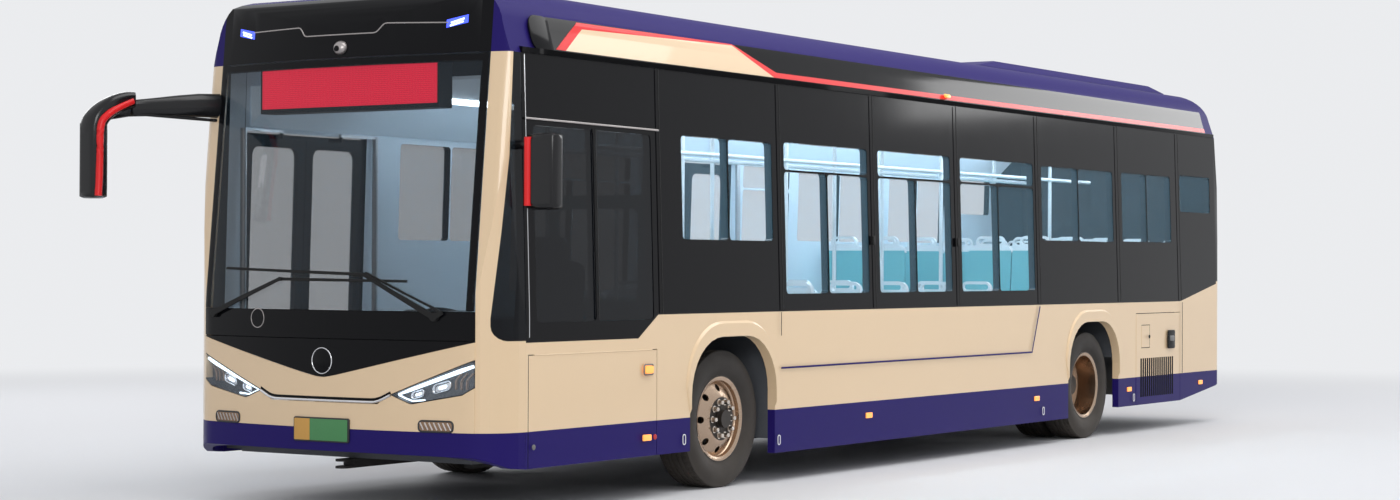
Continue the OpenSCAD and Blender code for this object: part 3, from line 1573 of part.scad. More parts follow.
// Shell of a seat: its profile, w wide, trimmed to an outline seen from the front
seat_reach = 700;
module seat_shell(profile, w) {
  intersection() {
    translate([0, w + 1, 0]) rotate([90, 0, 0]) linear_extrude(w + 2) polygon(profile);
    rotate([90, 0, 90]) linear_extrude(seat_reach) children();
  }
}
module cab() {
  step_z = floor_z + driver_step;
  color(steel) {
    dash_piece(seat_wall_air - inner_half, dash_right, DASH);
    dash_piece(dash_right - 1, inner_half - 2 * seat_wall_air, SHELF);
    dash_piece(driver_y - hood_half, driver_y + hood_half, HOOD);
    translate([at(steer_at), driver_y, steer_z]) rotate([0, steer_tilt, 0]) {
      rotate_extrude($fn = 64) translate([steer_r, 0]) circle(r = grip_r, $fn = 24);
      cylinder(r = 2 * column_r, h = 2 * grip_r, center = true, $fn = 48);
      for (a = [90, 210, 330])
        rotate([0, 0, a]) translate([0, -grip_r, -grip_r / 2]) cube([steer_r, 2 * grip_r, grip_r]);
      translate([0, 0, -column_l]) cylinder(r = column_r, h = column_l, $fn = 48);
    }
    translate([at(plinth_at), seat_wall_air - inner_half, floor_z])
      cube([partition_at - plinth_at - 1, inner_half - seat_wall_air - partition_in, driver_step]);
    translate([at(driver_seat_at + 60), driver_y - driver_seat_w / 3, step_z])
      cube([driver_seat_w * 0.8, driver_seat_w / 1.5, driver_seat_h - 70]);
    translate([at(driver_seat_at), driver_y - driver_seat_w / 2, step_z + driver_seat_h])
      seat_shell(DRIVER_SEAT, driver_seat_w) {
        polygon(rounded(0, -80, driver_seat_w, 600, 90, 6));
        polygon(rounded(120, 540, driver_seat_w - 120, 765, 70, 6));
      }
    along(partition_at, partition_at + partition_t) difference() {
      intersection() {
        section(wall + hinge_air);
        translate([-inner_half, floor_z]) square([inner_half - partition_in, partition_top - floor_z]);
      }
      polygon(rounded(-inner_half + 120, 1300, -partition_in - 90, partition_top - 90, 50));
    }
    translate([at(partition_at + partition_t / 2), -partition_in, floor_z])
      cylinder(r = 20, h = ceiling_z - floor_z, $fn = 32);
  }
}

// Seats, drawn from the corner of the front edge at the cushion's height
seat_w = 420;
seat_air = 10;
seat_h = 450;
seat_wall_air = 40;
SEAT = [
  [0, -45], [15, -12], [50, 0], [380, -14], [410, 10], [448, 470], [450, 600], [478, 600], [490, 480], [452, -10],
  [430, -50], [380, -62], [60, -52]
];
seat_beam = 36;
pole_r = 17;
pole_y = 295;
grab_z = ceiling_z - 330;
grab_start = 2400;
grab_end = 11000;
// Pairs of seats: distance behind the nose, sides, floor, and what the foot stands on
house_foot = house_top + house_wall;
SEATS = [
  [3700, SIDES, floor_z, floor_z], [4450, SIDES, floor_z, floor_z], [5200, [LEFT], floor_z, floor_z],
  [5950, [LEFT], floor_z, floor_z], [6700, [LEFT], floor_z, floor_z], [7000, [RIGHT], floor_z, floor_z],
  [7850, SIDES, high_floor_z, high_floor_z], [8600, SIDES, high_floor_z, house_foot],
  [9370, SIDES, high_floor_z, high_floor_z], [10120, SIDES, high_floor_z, high_floor_z]
];
bench_at = 11380;
bench_shells = 5;
// Poles beside the aisle: distance behind the nose, sides, floor
POLES = [
  [3640, SIDES, floor_z], [4980, [RIGHT], floor_z], [5140, [LEFT], floor_z], [6640, [LEFT], floor_z],
  [6950, [RIGHT], floor_z], [7810, SIDES, high_floor_z], [10080, SIDES, high_floor_z]
];
module seat_front() {
  polygon(rounded(0, -70, seat_w, 520, 70, 6));
  difference() {
    polygon(rounded(70, 440, seat_w - 70, 600, 60, 6));
    polygon(rounded(94, 530, seat_w - 94, 576, 22));
  }
}
module seat_group(d, y0, n, base, foot) {
  pitch = seat_w + seat_air;
  w = n * pitch - seat_air;
  leg = base + seat_h - foot;
  translate([at(d), y0, base + seat_h]) {
    seat_shell(SEAT, w) for (i = [0:n - 1]) translate([i * pitch, 0]) seat_front();
    translate([200, seat_beam, -seat_beam - 30]) cube([2 * seat_beam, w - 2 * seat_beam, seat_beam]);
    for (i = [1:n / 2]) translate([0, i * w / (floor(n / 2) + 1) + 50, 0]) rotate([90, 0, 0]) linear_extrude(100)
      polygon([[160, -seat_beam - 30], [320, -seat_beam - 30], [290, -leg], [180, -leg]]);
  }
}
module seats() {
  color([0.55, 0.75, 0.75]) {
    pair_w = 2 * seat_w + seat_air;
    for (g = SEATS, s = g[1]) seat_group(g[0],
      s == LEFT ? seat_wall_air - inner_half : inner_half - seat_wall_air - pair_w, 2, g[2], g[3]);
    seat_group(bench_at, -(bench_shells * (seat_w + seat_air) - seat_air) / 2, bench_shells,
               high_floor_z, high_floor_z);
    for (p = POLES, s = p[1]) translate([at(p[0]), s * pole_y, 0]) {
      translate([0, 0, p[2]]) cylinder(r = pole_r, h = grab_z - pole_r - seat_gap - p[2], $fn = 32);
      translate([0, 0, grab_z + pole_r + seat_gap])
        cylinder(r = pole_r, h = ceiling_z - grab_z - pole_r - seat_gap, $fn = 32);
    }
    for (s = SIDES) translate([at(grab_start), s * pole_y, grab_z])
      rotate([0, 90, 0]) cylinder(r = pole_r, h = grab_end - grab_start, $fn = 32);
  }
}

underframe();
floor();
ceiling();
left_side();
right_side();
skirts();
left_window_band();
right_window_band();
side_windows();
roof();
roof_coves();
roof_stripes();
stripe_panels();
roof_pod();
front_dome();
front_mask();
front_panel();
windscreen();
front_corners();
corner_windows();
bumpers();
route_sign();
headlamps();
front_moulding();
fog_lamps();
dome_lamps();
marker_lamps();
rear_cap_panel();
rear_wall();
rear_window();
rear_lamps();
motor_lid();
service_flap();
equipment_door();
charge_flap();
front_door_post_a();
front_door_leaf_a();
front_door_post_b();
front_door_leaf_b();
middle_door_post_a();
middle_door_leaf_a();
middle_door_post_b();
middle_door_leaf_b();
front_axle();
left_knuckle();
right_knuckle();
tie_rod();
rear_axle();
front_left_rim();
front_left_tyre();
front_right_rim();
front_right_tyre();
rear_left_rims();
rear_left_tyres();
rear_right_rims();
rear_right_tyres();
mirrors();
wipers();
cab();
seats();
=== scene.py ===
"""Looks of a low-floor airport passenger bus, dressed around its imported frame.

The bus faces -X, its right side is +Y and the road is Z = 0, in metres. Places along the bus are
distances behind the nose, as in the frame. Each sub-assembly is a class: its fields are its sizes, build()
makes its meshes and dress() gives the frame's own pieces their finish.
"""

import json
import logging
import math
from collections.abc import Callable, Sequence
from dataclasses import dataclass, field
from enum import Enum

import bmesh
import bpy
import numpy as np
from mathutils import Matrix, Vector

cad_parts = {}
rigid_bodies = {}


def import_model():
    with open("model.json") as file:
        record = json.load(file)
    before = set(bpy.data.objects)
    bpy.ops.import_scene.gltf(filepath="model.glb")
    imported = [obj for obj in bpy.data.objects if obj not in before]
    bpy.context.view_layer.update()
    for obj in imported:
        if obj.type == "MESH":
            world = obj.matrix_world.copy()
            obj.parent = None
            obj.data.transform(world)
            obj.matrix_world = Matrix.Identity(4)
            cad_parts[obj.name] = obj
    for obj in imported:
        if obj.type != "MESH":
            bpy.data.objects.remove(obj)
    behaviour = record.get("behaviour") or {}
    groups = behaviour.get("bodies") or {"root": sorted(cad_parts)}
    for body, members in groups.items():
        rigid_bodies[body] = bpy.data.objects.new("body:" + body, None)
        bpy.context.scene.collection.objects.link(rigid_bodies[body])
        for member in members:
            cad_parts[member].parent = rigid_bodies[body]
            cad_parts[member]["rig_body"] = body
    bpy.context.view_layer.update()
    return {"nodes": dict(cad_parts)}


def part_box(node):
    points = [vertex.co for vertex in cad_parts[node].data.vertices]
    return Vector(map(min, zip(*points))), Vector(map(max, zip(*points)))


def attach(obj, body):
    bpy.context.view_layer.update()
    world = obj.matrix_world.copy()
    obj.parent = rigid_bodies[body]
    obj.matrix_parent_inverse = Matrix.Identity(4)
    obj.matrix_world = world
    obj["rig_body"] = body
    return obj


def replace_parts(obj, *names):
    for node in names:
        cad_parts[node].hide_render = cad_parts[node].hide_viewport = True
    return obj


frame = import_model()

LOG = logging.getLogger("bus")
Array = np.ndarray
Place = Callable[[Array, Array, Array], Array]
Spot = tuple[float, float]
Tree = bpy.types.NodeTree
Socket = bpy.types.NodeSocket

# Driving dimensions, read from the frame
NOSE_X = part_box("bumpers")[0].x
HALF_W = -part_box("left_side")[0].y
SKIRT_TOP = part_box("left_side")[0].z
EAVE_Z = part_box("left_window_band")[1].z
LEFT = -1
RIGHT = 1
SIDES = (LEFT, RIGHT)
SIDE_NAMES = ((LEFT, "left"), (RIGHT, "right"))


def at(distance: float) -> float:
    """Return the X of a place at this distance behind the nose."""
    return NOSE_X + distance


# Finishes


class Grain(Enum):
    """What the bump of a finish looks like."""

    PEEL = "fine waves of sprayed paint"
    SMOOTH = "waves of float glass"
    MOULDED = "pores of moulded plastic"
    BRUSHED = "lines of brushed metal"
    CAST = "pits of cast metal"
    RUBBER = "matt skin of rubber"
    SPECKLED = "chips of a vinyl floor"


# Scale and strength of each grain's bump
GRAINS = {
    Grain.PEEL: (240.0, 0.004),
    Grain.SMOOTH: (1.3, 0.02),
    Grain.MOULDED: (420.0, 0.12),
    Grain.BRUSHED: (160.0, 0.06),
    Grain.CAST: (130.0, 0.25),
    Grain.RUBBER: (260.0, 0.15),
    Grain.SPECKLED: (340.0, 0.05),
}
BUMP_DISTANCE = 0.002
BRUSH_STRETCH = (1.0, 1.0, 0.04)

# Scales of the noises that vary shade, chips, gloss and dirt
SHADE_SCALE = 1.7
CHIP_SCALE = 260.0
GLOSS_SCALE = 7.0
DIRT_SCALE = 3.0

# Share by which roughness varies on sprayed paint, and on everything else
PAINT_SPREAD = 0.03
SPREAD = 0.2

# Road dirt: its colour, how high it reaches, and from where down it is thickest
DIRT_COLOR = (0.16, 0.13, 0.10, 1.0)
DIRT_TOP = 0.95
DIRT_FOOT = 0.15

# A lit sign's dots: radii of core and rim as shares of their distance, and the share of glow between them
DOT_CORE = 0.25
DOT_RIM = 0.48
DOT_GAP = 0.35


def wire(tree: Tree, node: bpy.types.Node, inputs: dict[str | int, object]) -> bpy.types.Node:
    """Link the sockets among a node's inputs, and set the values.

    Args:
        tree: Node tree that holds the node.
        node: The node.
        inputs: Socket or value for each input, by name or number.

    Returns:
        The same node.
    """
    for name, value in inputs.items():
        if isinstance(value, Socket):
            tree.links.new(value, node.inputs[name])
        else:
            node.inputs[name].default_value = value
    return node


def add_node(tree: Tree, kind: str, inputs: dict[str | int, object]) -> bpy.types.Node:
    """Add a shader node of a kind and wire its inputs."""
    return wire(tree, tree.nodes.new(f"ShaderNode{kind}"), inputs)


def combine(tree: Tree, operation: str, first: Socket, second: Socket) -> Socket:
    """Put two values together.

    Args:
        tree: Node tree.
        operation: Name of the operation.
        first: First value.
        second: Second value.

    Returns:
        The result.
    """
    node = tree.nodes.new("ShaderNodeMath")
    node.operation = operation
    return wire(tree, node, {0: first, 1: second}).outputs[0]


def vector_step(tree: Tree, operation: str, first: Socket, second: Sequence[float] | None = None) -> Socket:
    """Take one step of vector arithmetic.

    Args:
        tree: Node tree.
        operation: Name of the operation.
        first: Vector that it works on.
        second: Second vector, for an operation that takes one.

    Returns:
        The result: a value for LENGTH, and a vector for the others.
    """
    node = tree.nodes.new("ShaderNodeVectorMath")
    node.operation = operation
    wire(tree, node, {0: first} if second is None else {0: first, 1: second})
    return node.outputs["Value" if operation == "LENGTH" else "Vector"]


def mix_colors(tree: Tree, factor: Socket, first: object, second: object) -> Socket:
    """Mix two colours.

    Args:
        tree: Node tree.
        factor: Share of the second colour.
        first: First colour, as a socket or as RGBA.
        second: Second colour.

    Returns:
        The mixed colour.
    """
    node = tree.nodes.new("ShaderNodeMix")
    node.data_type = "RGBA"
    return wire(tree, node, {"Factor": factor, "A": first, "B": second}).outputs["Result"]


def mix_shaders(tree: Tree, factor: Socket, first: bpy.types.Node, second: bpy.types.Node) -> Socket:
    """Return two shaders mixed by a factor, which is the share of the second."""
    return add_node(tree, "MixShader", {0: factor, 1: first.outputs[0], 2: second.outputs[0]}).outputs[0]


def noise(tree: Tree, place: Socket, scale: float) -> Socket:
    """Return the factor of a noise of this scale at a place."""
    return add_node(tree, "TexNoise", {"Scale": scale, "Detail": 4.0, "Vector": place}).outputs["Fac"]


@dataclass(frozen=True)
class Finish:
    """A finish: its colour and gloss, and how they vary over the surface.

    Args:
        color: Linear colour.
        rough: Roughness.
        slot: Slot of the record that the finish belongs to. Not used.
        metal: How metallic it is.
        coat: Strength of a clear coat.
        specular: Strength of the reflection.
        alpha: Cover, below 1 for glass.
        glow: Strength of its own light.
        grain: Kind of bump.
        mottle: Share by which the colour varies.
        dirt: Share of road dirt at the height of the wheels.
        dots: Distance between the bright dots of a lit sign, or 0.
    """

    color: tuple[float, float, float]
    rough: float
    slot: str
    metal: float = 0.0
    coat: float = 0.0
    specular: float = 0.5
    alpha: float = 1.0
    glow: float = 0.0
    grain: Grain = Grain.MOULDED
    mottle: float = 0.06
    dirt: float = 0.0
    dots: float = 0.0

    def material(self, name: str) -> bpy.types.Material:
        """Make the node material, once for each name.

        Args:
            name: Name of the material.

        Returns:
            The material.
        """
        found = bpy.data.materials.get(name)
        if found is not None:
            return found
        made = bpy.data.materials.new(name)
        made.use_nodes = True
        tree = made.node_tree
        place = tree.nodes.new("ShaderNodeTexCoord").outputs["Object"]
        inputs = {
            "Metallic": self.metal, "Coat Weight": self.coat, "Coat Roughness": 0.04,
            "Specular IOR Level": self.specular, "Alpha": self.alpha,
            "Base Color": self._color(tree, place),
            "Roughness": self._roughness(tree, place),
            "Normal": self._bump(tree, place),
        }
        if self.glow:
            inputs["Emission Color"] = (*self.color, 1)
            inputs["Emission Strength"] = self._dots(tree, place) if self.dots else self.glow
        wire(tree, tree.nodes["Principled BSDF"], inputs)
        return made

    def _color(self, tree: Tree, place: Socket) -> Socket:
        """Mix two shades by a soft noise, and road dirt by height.

        Args:
            tree: Node tree of the material.
            place: Object coordinates.

        Returns:
            The colour.
        """
        scale = CHIP_SCALE if self.grain is Grain.SPECKLED else SHADE_SCALE
        dark, light = self._shade(1 - self.mottle), self._shade(1 + self.mottle)
        shade = mix_colors(tree, noise(tree, place, scale), dark, light)
        if not self.dirt:
            return shade
        height = add_node(tree, "SeparateXYZ", {0: place}).outputs["Z"]
        reach = {"Value": height, "From Min": DIRT_TOP, "From Max": DIRT_FOOT, "To Max": self.dirt}
        low = add_node(tree, "MapRange", reach).outputs[0]
        spots = combine(tree, "MULTIPLY", low, noise(tree, place, DIRT_SCALE))
        return mix_colors(tree, spots, shade, DIRT_COLOR)

    def _roughness(self, tree: Tree, place: Socket) -> Socket:
        """Vary the roughness by a soft noise.

        Args:
            tree: Node tree of the material.
            place: Object coordinates.

        Returns:
            The roughness.
        """
        spread = PAINT_SPREAD if self.grain is Grain.PEEL else SPREAD
        low, high = self.rough * (1 - spread), min(1.0, self.rough * (1 + spread))
        cloud = noise(tree, place, GLOSS_SCALE)
        return add_node(tree, "MapRange", {"Value": cloud, "To Min": low, "To Max": high}).outputs[0]

    def _dots(self, tree: Tree, place: Socket) -> Socket:
        """Light round dots in a square pattern: the distance from the middle of each square sets the glow.

        Args:
            tree: Node tree of the material.
            place: Object coordinates.

        Returns:
            Strength of the glow.
        """
        squares = vector_step(tree, "MULTIPLY", place, [1 / self.dots] * 3)
        inside = vector_step(tree, "FRACTION", squares)
        centred = vector_step(tree, "SUBTRACT", inside, [0.5] * 3)
        upright_face = vector_step(tree, "MULTIPLY", centred, (0, 1, 1))
        away = vector_step(tree, "LENGTH", upright_face)
        fall = {"Value": away, "From Min": DOT_CORE, "From Max": DOT_RIM,
                "To Min": self.glow, "To Max": self.glow * DOT_GAP}
        return add_node(tree, "MapRange", fall).outputs[0]

    def _shade(self, factor: float) -> tuple[float, float, float, float]:
        """Return the colour times a factor, as RGBA."""
        return (*[min(1.0, c * factor) for c in self.color], 1.0)

    def _bump(self, tree: Tree, place: Socket) -> Socket:
        """Raise the bump of the grain.

        Args:
            tree: Node tree of the material.
            place: Object coordinates.

        Returns:
            The bent normal.
        """
        scale, strength = GRAINS[self.grain]
        if self.grain is Grain.BRUSHED:
            place = add_node(tree, "Mapping", {"Vector": place, "Scale": BRUSH_STRETCH}).outputs[0]
        bump = {"Strength": strength, "Distance": BUMP_DISTANCE, "Height": noise(tree, place, scale)}
        return add_node(tree, "Bump", bump).outputs[0]


class Paint(Enum):
    """Every finish of the bus."""

    CREAM = Finish((0.80, 0.59, 0.365), 0.28, "cream_paint", coat=0.5, grain=Grain.PEEL, mottle=0.008)
    NAVY = Finish((0.020, 0.012, 0.125), 0.30, "navy_paint", specular=0.07, grain=Grain.PEEL, mottle=0.03)
    ROOF = Finish((0.020, 0.012, 0.125), 0.5, "navy_paint", specular=0.08, grain=Grain.PEEL, mottle=0.03)
    GLOSS_BLACK = Finish((0.004, 0.004, 0.005), 0.10, "black_gloss", specular=0.12, grain=Grain.SMOOTH)
    RED_LINE = Finish((0.78, 0.020, 0.022), 0.3, "red_paint", specular=0.3, grain=Grain.PEEL)
    PANE = Finish((0.16, 0.34, 0.46), 0.03, "clear_glass", alpha=0.14, grain=Grain.SMOOTH)
    DARK_PANE = Finish(
        (0.004, 0.005, 0.007), 0.05, "dark_glass", specular=0.2, alpha=0.88, grain=Grain.SMOOTH,
    )
    SCREEN = Finish((0.008, 0.016, 0.024), 0.02, "clear_glass", specular=0.4, alpha=0.42, grain=Grain.SMOOTH)
    LENS = Finish((0.75, 0.85, 0.95), 0.03, "lamp_lens", alpha=0.07, grain=Grain.SMOOTH)
    LAMP_WHITE = Finish((0.74, 0.88, 1.0), 0.3, "lamp_lens", glow=1.6, mottle=0.0, grain=Grain.SMOOTH)
    LAMP_BLUE = Finish((0.06, 0.10, 1.0), 0.2, "lamp_lens", glow=1.3, mottle=0.0, grain=Grain.SMOOTH)
    LAMP_BOWL = Finish((0.020, 0.022, 0.028), 0.25, "lamp_lens", specular=0.4)
    LAMP_FOG = Finish((0.30, 0.19, 0.12), 0.2, "lamp_lens", metal=0.5, grain=Grain.SMOOTH)
    AMBER = Finish((0.95, 0.36, 0.08), 0.2, "amber_lens", glow=0.9, grain=Grain.SMOOTH)
    RED_LENS = Finish((0.45, 0.012, 0.010), 0.12, "red_lens", coat=0.8, grain=Grain.SMOOTH)
    CHROME = Finish((0.72, 0.72, 0.74), 0.08, "bright_trim", metal=1.0, grain=Grain.SMOOTH)
    SATIN = Finish((0.40, 0.37, 0.36), 0.35, "bright_trim", metal=0.9, grain=Grain.BRUSHED)
    SIGN = Finish((1.0, 0.016, 0.060), 0.4, "sign_face", glow=2.2, mottle=0.0, dots=0.0125)
    TYRE = Finish((0.018, 0.015, 0.013), 0.75, "tyre_rubber", grain=Grain.RUBBER, mottle=0.25, dirt=0.35)
    # The wheel is silver; its warm bronze colour is painted warm lamp light on the metal
    WHEEL = Finish(
        (0.46, 0.34, 0.25), 0.26, "wheel_silver", metal=1.0, grain=Grain.CAST, mottle=0.12, dirt=0.1,
    )
    NUT = Finish((0.62, 0.56, 0.50), 0.25, "wheel_silver", metal=1.0, grain=Grain.CAST, mottle=0.1)
    HUB = Finish((0.030, 0.024, 0.020), 0.45, "chassis_steel", metal=0.4, grain=Grain.CAST, mottle=0.3)
    STEEL = Finish(
        (0.020, 0.019, 0.019), 0.65, "chassis_steel", specular=0.3, grain=Grain.CAST, mottle=0.3, dirt=0.12,
    )
    CASTING = Finish(
        (0.20, 0.20, 0.20), 0.5, "chassis_steel", metal=0.6, grain=Grain.CAST, mottle=0.25, dirt=0.4,
    )
    FLOORING = Finish((0.075, 0.080, 0.090), 0.6, "floor_lining", grain=Grain.SPECKLED, mottle=0.25)
    # The linings glow faintly: painted light, standing for the cabin lamps' light falling on them
    LINING = Finish((0.62, 0.75, 0.86), 0.5, "ceiling_lining", glow=0.35, mottle=0.03)
    WALL = Finish((0.60, 0.70, 0.78), 0.5, "ceiling_lining", glow=0.12, mottle=0.03)
    TUBE_LIGHT = Finish((0.80, 0.92, 1.0), 0.5, "ceiling_lining", glow=16.0, mottle=0.0)
    DASH = Finish((0.020, 0.021, 0.024), 0.5, "cab_plastic", mottle=0.15)
    FABRIC = Finish((0.045, 0.050, 0.060), 0.9, "cab_plastic", grain=Grain.RUBBER, mottle=0.3)
    SEAT = Finish((0.13, 0.46, 0.50), 0.42, "seat_shell", mottle=0.05)
    RAIL = Finish((0.80, 0.83, 0.85), 0.3, "seat_shell", coat=0.3, mottle=0.03)
    POST = Finish((0.55, 0.56, 0.58), 0.3, "post_metal", metal=1.0, grain=Grain.BRUSHED)
    LEAF = Finish((0.007, 0.007, 0.008), 0.15, "door_leaf", specular=0.25, grain=Grain.SMOOTH)
    RUBBER = Finish((0.008, 0.008, 0.008), 0.7, "wiper_black", specular=0.3, grain=Grain.RUBBER)
    MIRROR_SKIN = Finish((0.006, 0.006, 0.007), 0.16, "black_gloss", specular=0.4)
    MIRROR_GLASS = Finish((0.75, 0.77, 0.80), 0.02, "bright_trim", metal=1.0, grain=Grain.SMOOTH)
    HATCH = Finish((0.30, 0.31, 0.32), 0.55, "ceiling_lining", mottle=0.05)
    MARK = Finish((0.75, 0.75, 0.76), 0.5, "cream_paint", grain=Grain.PEEL)
    PLATE_GREEN = Finish((0.06, 0.24, 0.08), 0.45, "cream_paint", grain=Grain.PEEL)
    PLATE_GOLD = Finish((0.62, 0.33, 0.07), 0.45, "cream_paint", grain=Grain.PEEL)

    def material(self) -> bpy.types.Material:
        """Return the node material of this finish."""
        return self.value.material(self.name.lower())

    def put_on(self, obj: bpy.types.Object) -> None:
        """Make this the only material of an object."""
        obj.data.materials.clear()
        obj.data.materials.append(self.material())


# Shapes

# Distances within which points are merged: in new pieces, in copies of nodes, and on a plane that cuts
WELD = 2e-5
NODE_WELD = 5e-5
CUT_WELD = 1e-5
# Length under which an edge is dropped, and degrees up to which neighbouring faces are joined
SHORTEST = 1e-6
FLAT = 0.4


@dataclass
class Shape:
    """Points, four-sided faces and caps, before they become a mesh.

    Args:
        points: Points, of shape (n, 3).
        quads: Four-sided faces, of shape (m, 4).
        caps: Faces with more corners, one array of indices each.
    """

    points: Array
    quads: Array
    caps: list[Array] = field(default_factory=list)

    def __add__(self, other: "Shape") -> "Shape":
        """Put two shapes into one.

        Args:
            other: The second shape.

        Returns:
            Both shapes as one.
        """
        shift = len(self.points)
        return Shape(
            np.concatenate([self.points, other.points]),
            np.concatenate([self.quads, other.quads + shift]),
            self.caps + [c + shift for c in other.caps],
        )

    def moved(self, x: float = 0.0, y: float = 0.0, z: float = 0.0) -> "Shape":
        """Return the shape shifted."""
        return Shape(self.points + np.array([x, y, z]), self.quads, self.caps)

    def mirrored(self) -> "Shape":
        """Return the shape mirrored across the centre plane."""
        flip = np.array([1.0, -1.0, 1.0])
        return Shape(self.points * flip, self.quads[:, ::-1], [c[::-1] for c in self.caps])

    def paired(self) -> "Shape":
        """Return the shape together with its mirror image."""
        return self + self.mirrored()

    def piece(self, name: str, paint: Paint, body: str = "body", sharp: float = 35.0) -> bpy.types.Object:
        """Make the mesh, close its seams, point its faces outwards and let it ride.

        Args:
            name: Name of the piece.
            paint: Its finish.
            body: Body that it moves with.
            sharp: Angle in degrees from which an edge stays sharp.

        Returns:
            The object.
        """
        sizes = np.concatenate([np.full(len(self.quads), 4), [len(c) for c in self.caps]]).astype(np.int32)
        corners = np.concatenate([self.quads.ravel(), *self.caps]).astype(np.int32)
        mesh = bpy.data.meshes.new(name)
        mesh.vertices.add(len(self.points))
        mesh.vertices.foreach_set("co", self.points.astype(np.float32).ravel())
        mesh.loops.add(len(corners))
        mesh.loops.foreach_set("vertex_index", corners)
        mesh.polygons.add(len(sizes))
        mesh.polygons.foreach_set("loop_start", np.concatenate([[0], np.cumsum(sizes)[:-1]]).astype(np.int32))
        mesh.polygons.foreach_set("use_smooth", np.ones(len(sizes), bool))
        mesh.update(calc_edges=True)
        mesh.validate()
        obj = bpy.data.objects.new(name, mesh)
        bpy.context.scene.collection.objects.link(obj)
        close_seams(mesh, sharp)
        return register(obj, paint, body)


def close_seams(mesh: bpy.types.Mesh, sharp: float) -> None:
    """Merge doubles, point faces outwards and mark sharp edges.

    Args:
        mesh: The mesh.
        sharp: Angle in degrees from which an edge stays sharp.
    """
    work = bmesh.new()
    work.from_mesh(mesh)
    bmesh.ops.remove_doubles(work, verts=work.verts, dist=WELD)
    bmesh.ops.dissolve_degenerate(work, edges=work.edges, dist=SHORTEST)
    bmesh.ops.recalc_face_normals(work, faces=work.faces)
    work.to_mesh(mesh)
    work.free()
    mesh.set_sharp_from_angle(angle=math.radians(sharp))


def register(obj: bpy.types.Object, paint: Paint, body: str) -> bpy.types.Object:
    """Paint a piece, let it ride on a body and log it.

    Args:
        obj: The piece.
        paint: Its finish.
        body: Body that it moves with.

    Returns:
        The same piece.
    """
    paint.put_on(obj)
    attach(obj, body)
    LOG.info("%s: %d faces, %s, on %s", obj.name, len(obj.data.polygons), paint.name, body)
    return obj


def loft(rings: Array, wrap: tuple[bool, bool] = (False, True), capped: bool = True) -> Shape:
    """Join rings of points to a surface: a grid whose rows and columns may close on themselves.

    Args:
        rings: Points of shape (rings, points in a ring, 3).
        wrap: Whether the last ring joins the first, and whether each ring is closed.
        capped: Whether the first and last ring are filled.

    Returns:
        The surface.
    """
    count, size = rings.shape[:2]
    index = np.arange(count * size).reshape(count, size)
    rows = np.concatenate([index, index[:1]]) if wrap[0] else index
    grid = np.concatenate([rows, rows[:, :1]], axis=1) if wrap[1] else rows
    quads = np.stack([grid[:-1, :-1], grid[:-1, 1:], grid[1:, 1:], grid[1:, :-1]], axis=-1).reshape(-1, 4)
    caps = [index[0][::-1], index[-1]] if capped and not wrap[0] else []
    return Shape(rings.reshape(-1, 3), quads, caps)


def slab(outer: Array, inner: Array) -> Shape:
    """Close the space between two grids of equal shape: both grids, and a rim round their four edges.

    Args:
        outer: Points of shape (n, m, 3).
        inner: Points of the same shape.

    Returns:
        The closed solid.
    """
    count = outer.shape[0] * outer.shape[1]
    top = loft(outer, (False, False), False)
    low = loft(inner, (False, False), False)
    index = np.arange(count).reshape(outer.shape[:2])
    rim = np.concatenate([index[0, :-1], index[:-1, -1], index[-1, :0:-1], index[:0:-1, 0]])
    after = np.roll(rim, -1)
    sides = np.stack([rim, after, after + count, rim + count], axis=-1)
    return Shape(
        np.concatenate([top.points, low.points]),
        np.concatenate([top.quads, low.quads[:, ::-1] + count, sides]),
    )


def turns(steps: int) -> Array:
    """Return the angles of points evenly spaced round a circle."""
    return np.linspace(0, 2 * math.pi, steps, endpoint=False)


def circle(radius: float, steps: int) -> Array:
    """Return a circle about the origin as an outline."""
    return radius * np.stack([np.cos(turns(steps)), np.sin(turns(steps))], axis=-1)


def rounded(width: float, height: float, radius: float, steps: int = 5) -> Array:
    """Draw a rectangle with round corners about the origin: four arcs of a circle.

    Args:
        width: Width of the rectangle.
        height: Its height.
        radius: Radius of its corners.
        steps: Points in each corner.

    Returns:
        The outline, counterclockwise.
    """
    angles = np.radians(np.linspace(0, 90, steps)[None, :] + np.array([0, 90, 180, 270])[:, None])
    signs = np.array([[1, 1], [-1, 1], [-1, -1], [1, -1]])
    centres = signs * (np.array([width, height]) / 2 - radius)
    points = centres[:, None, :] + radius * np.stack([np.cos(angles), np.sin(angles)], axis=-1)
    return points.reshape(-1, 2)


def inset(outline: Array, distance: float) -> Array:
    """Move an outline inwards along the mean normal of each corner's two edges.

    Args:
        outline: Points of a closed outline, counterclockwise.
        distance: How far it moves.

    Returns:
        The moved outline.
    """
    after = np.roll(outline, -1, axis=0) - outline
    before = outline - np.roll(outline, 1, axis=0)
    after = after / np.linalg.norm(after, axis=1, keepdims=True)
    edge = after + before / np.linalg.norm(before, axis=1, keepdims=True)
    edge /= np.linalg.norm(edge, axis=1, keepdims=True)
    return outline + distance * np.stack([-edge[:, 1], edge[:, 0]], axis=-1)


def plate(outline: Array, place: Place, low: float, high: float, bevel: float = 0.003) -> Shape:
    """Lay a plate with a round edge on a surface: rings of its outline, drawn in towards its top.

    Args:
        outline: Closed outline, counterclockwise, in the surface's two coordinates.
        place: Turns two coordinates and a height over the surface into a point.
        low: Height of its underside over the surface.
        high: Height of its top.
        bevel: Radius of its edge.

    Returns:
        The plate.
    """
    rings = [place(outline[:, 0], outline[:, 1], np.full(len(outline), low))]
    for turn in np.radians([0.0, 30.0, 60.0, 90.0]):
        drawn = inset(outline, bevel * (1 - math.cos(turn)))
        height = np.full(len(outline), high - bevel * (1 - math.sin(turn)))
        rings.append(place(drawn[:, 0], drawn[:, 1], height))
    return loft(np.array(rings))


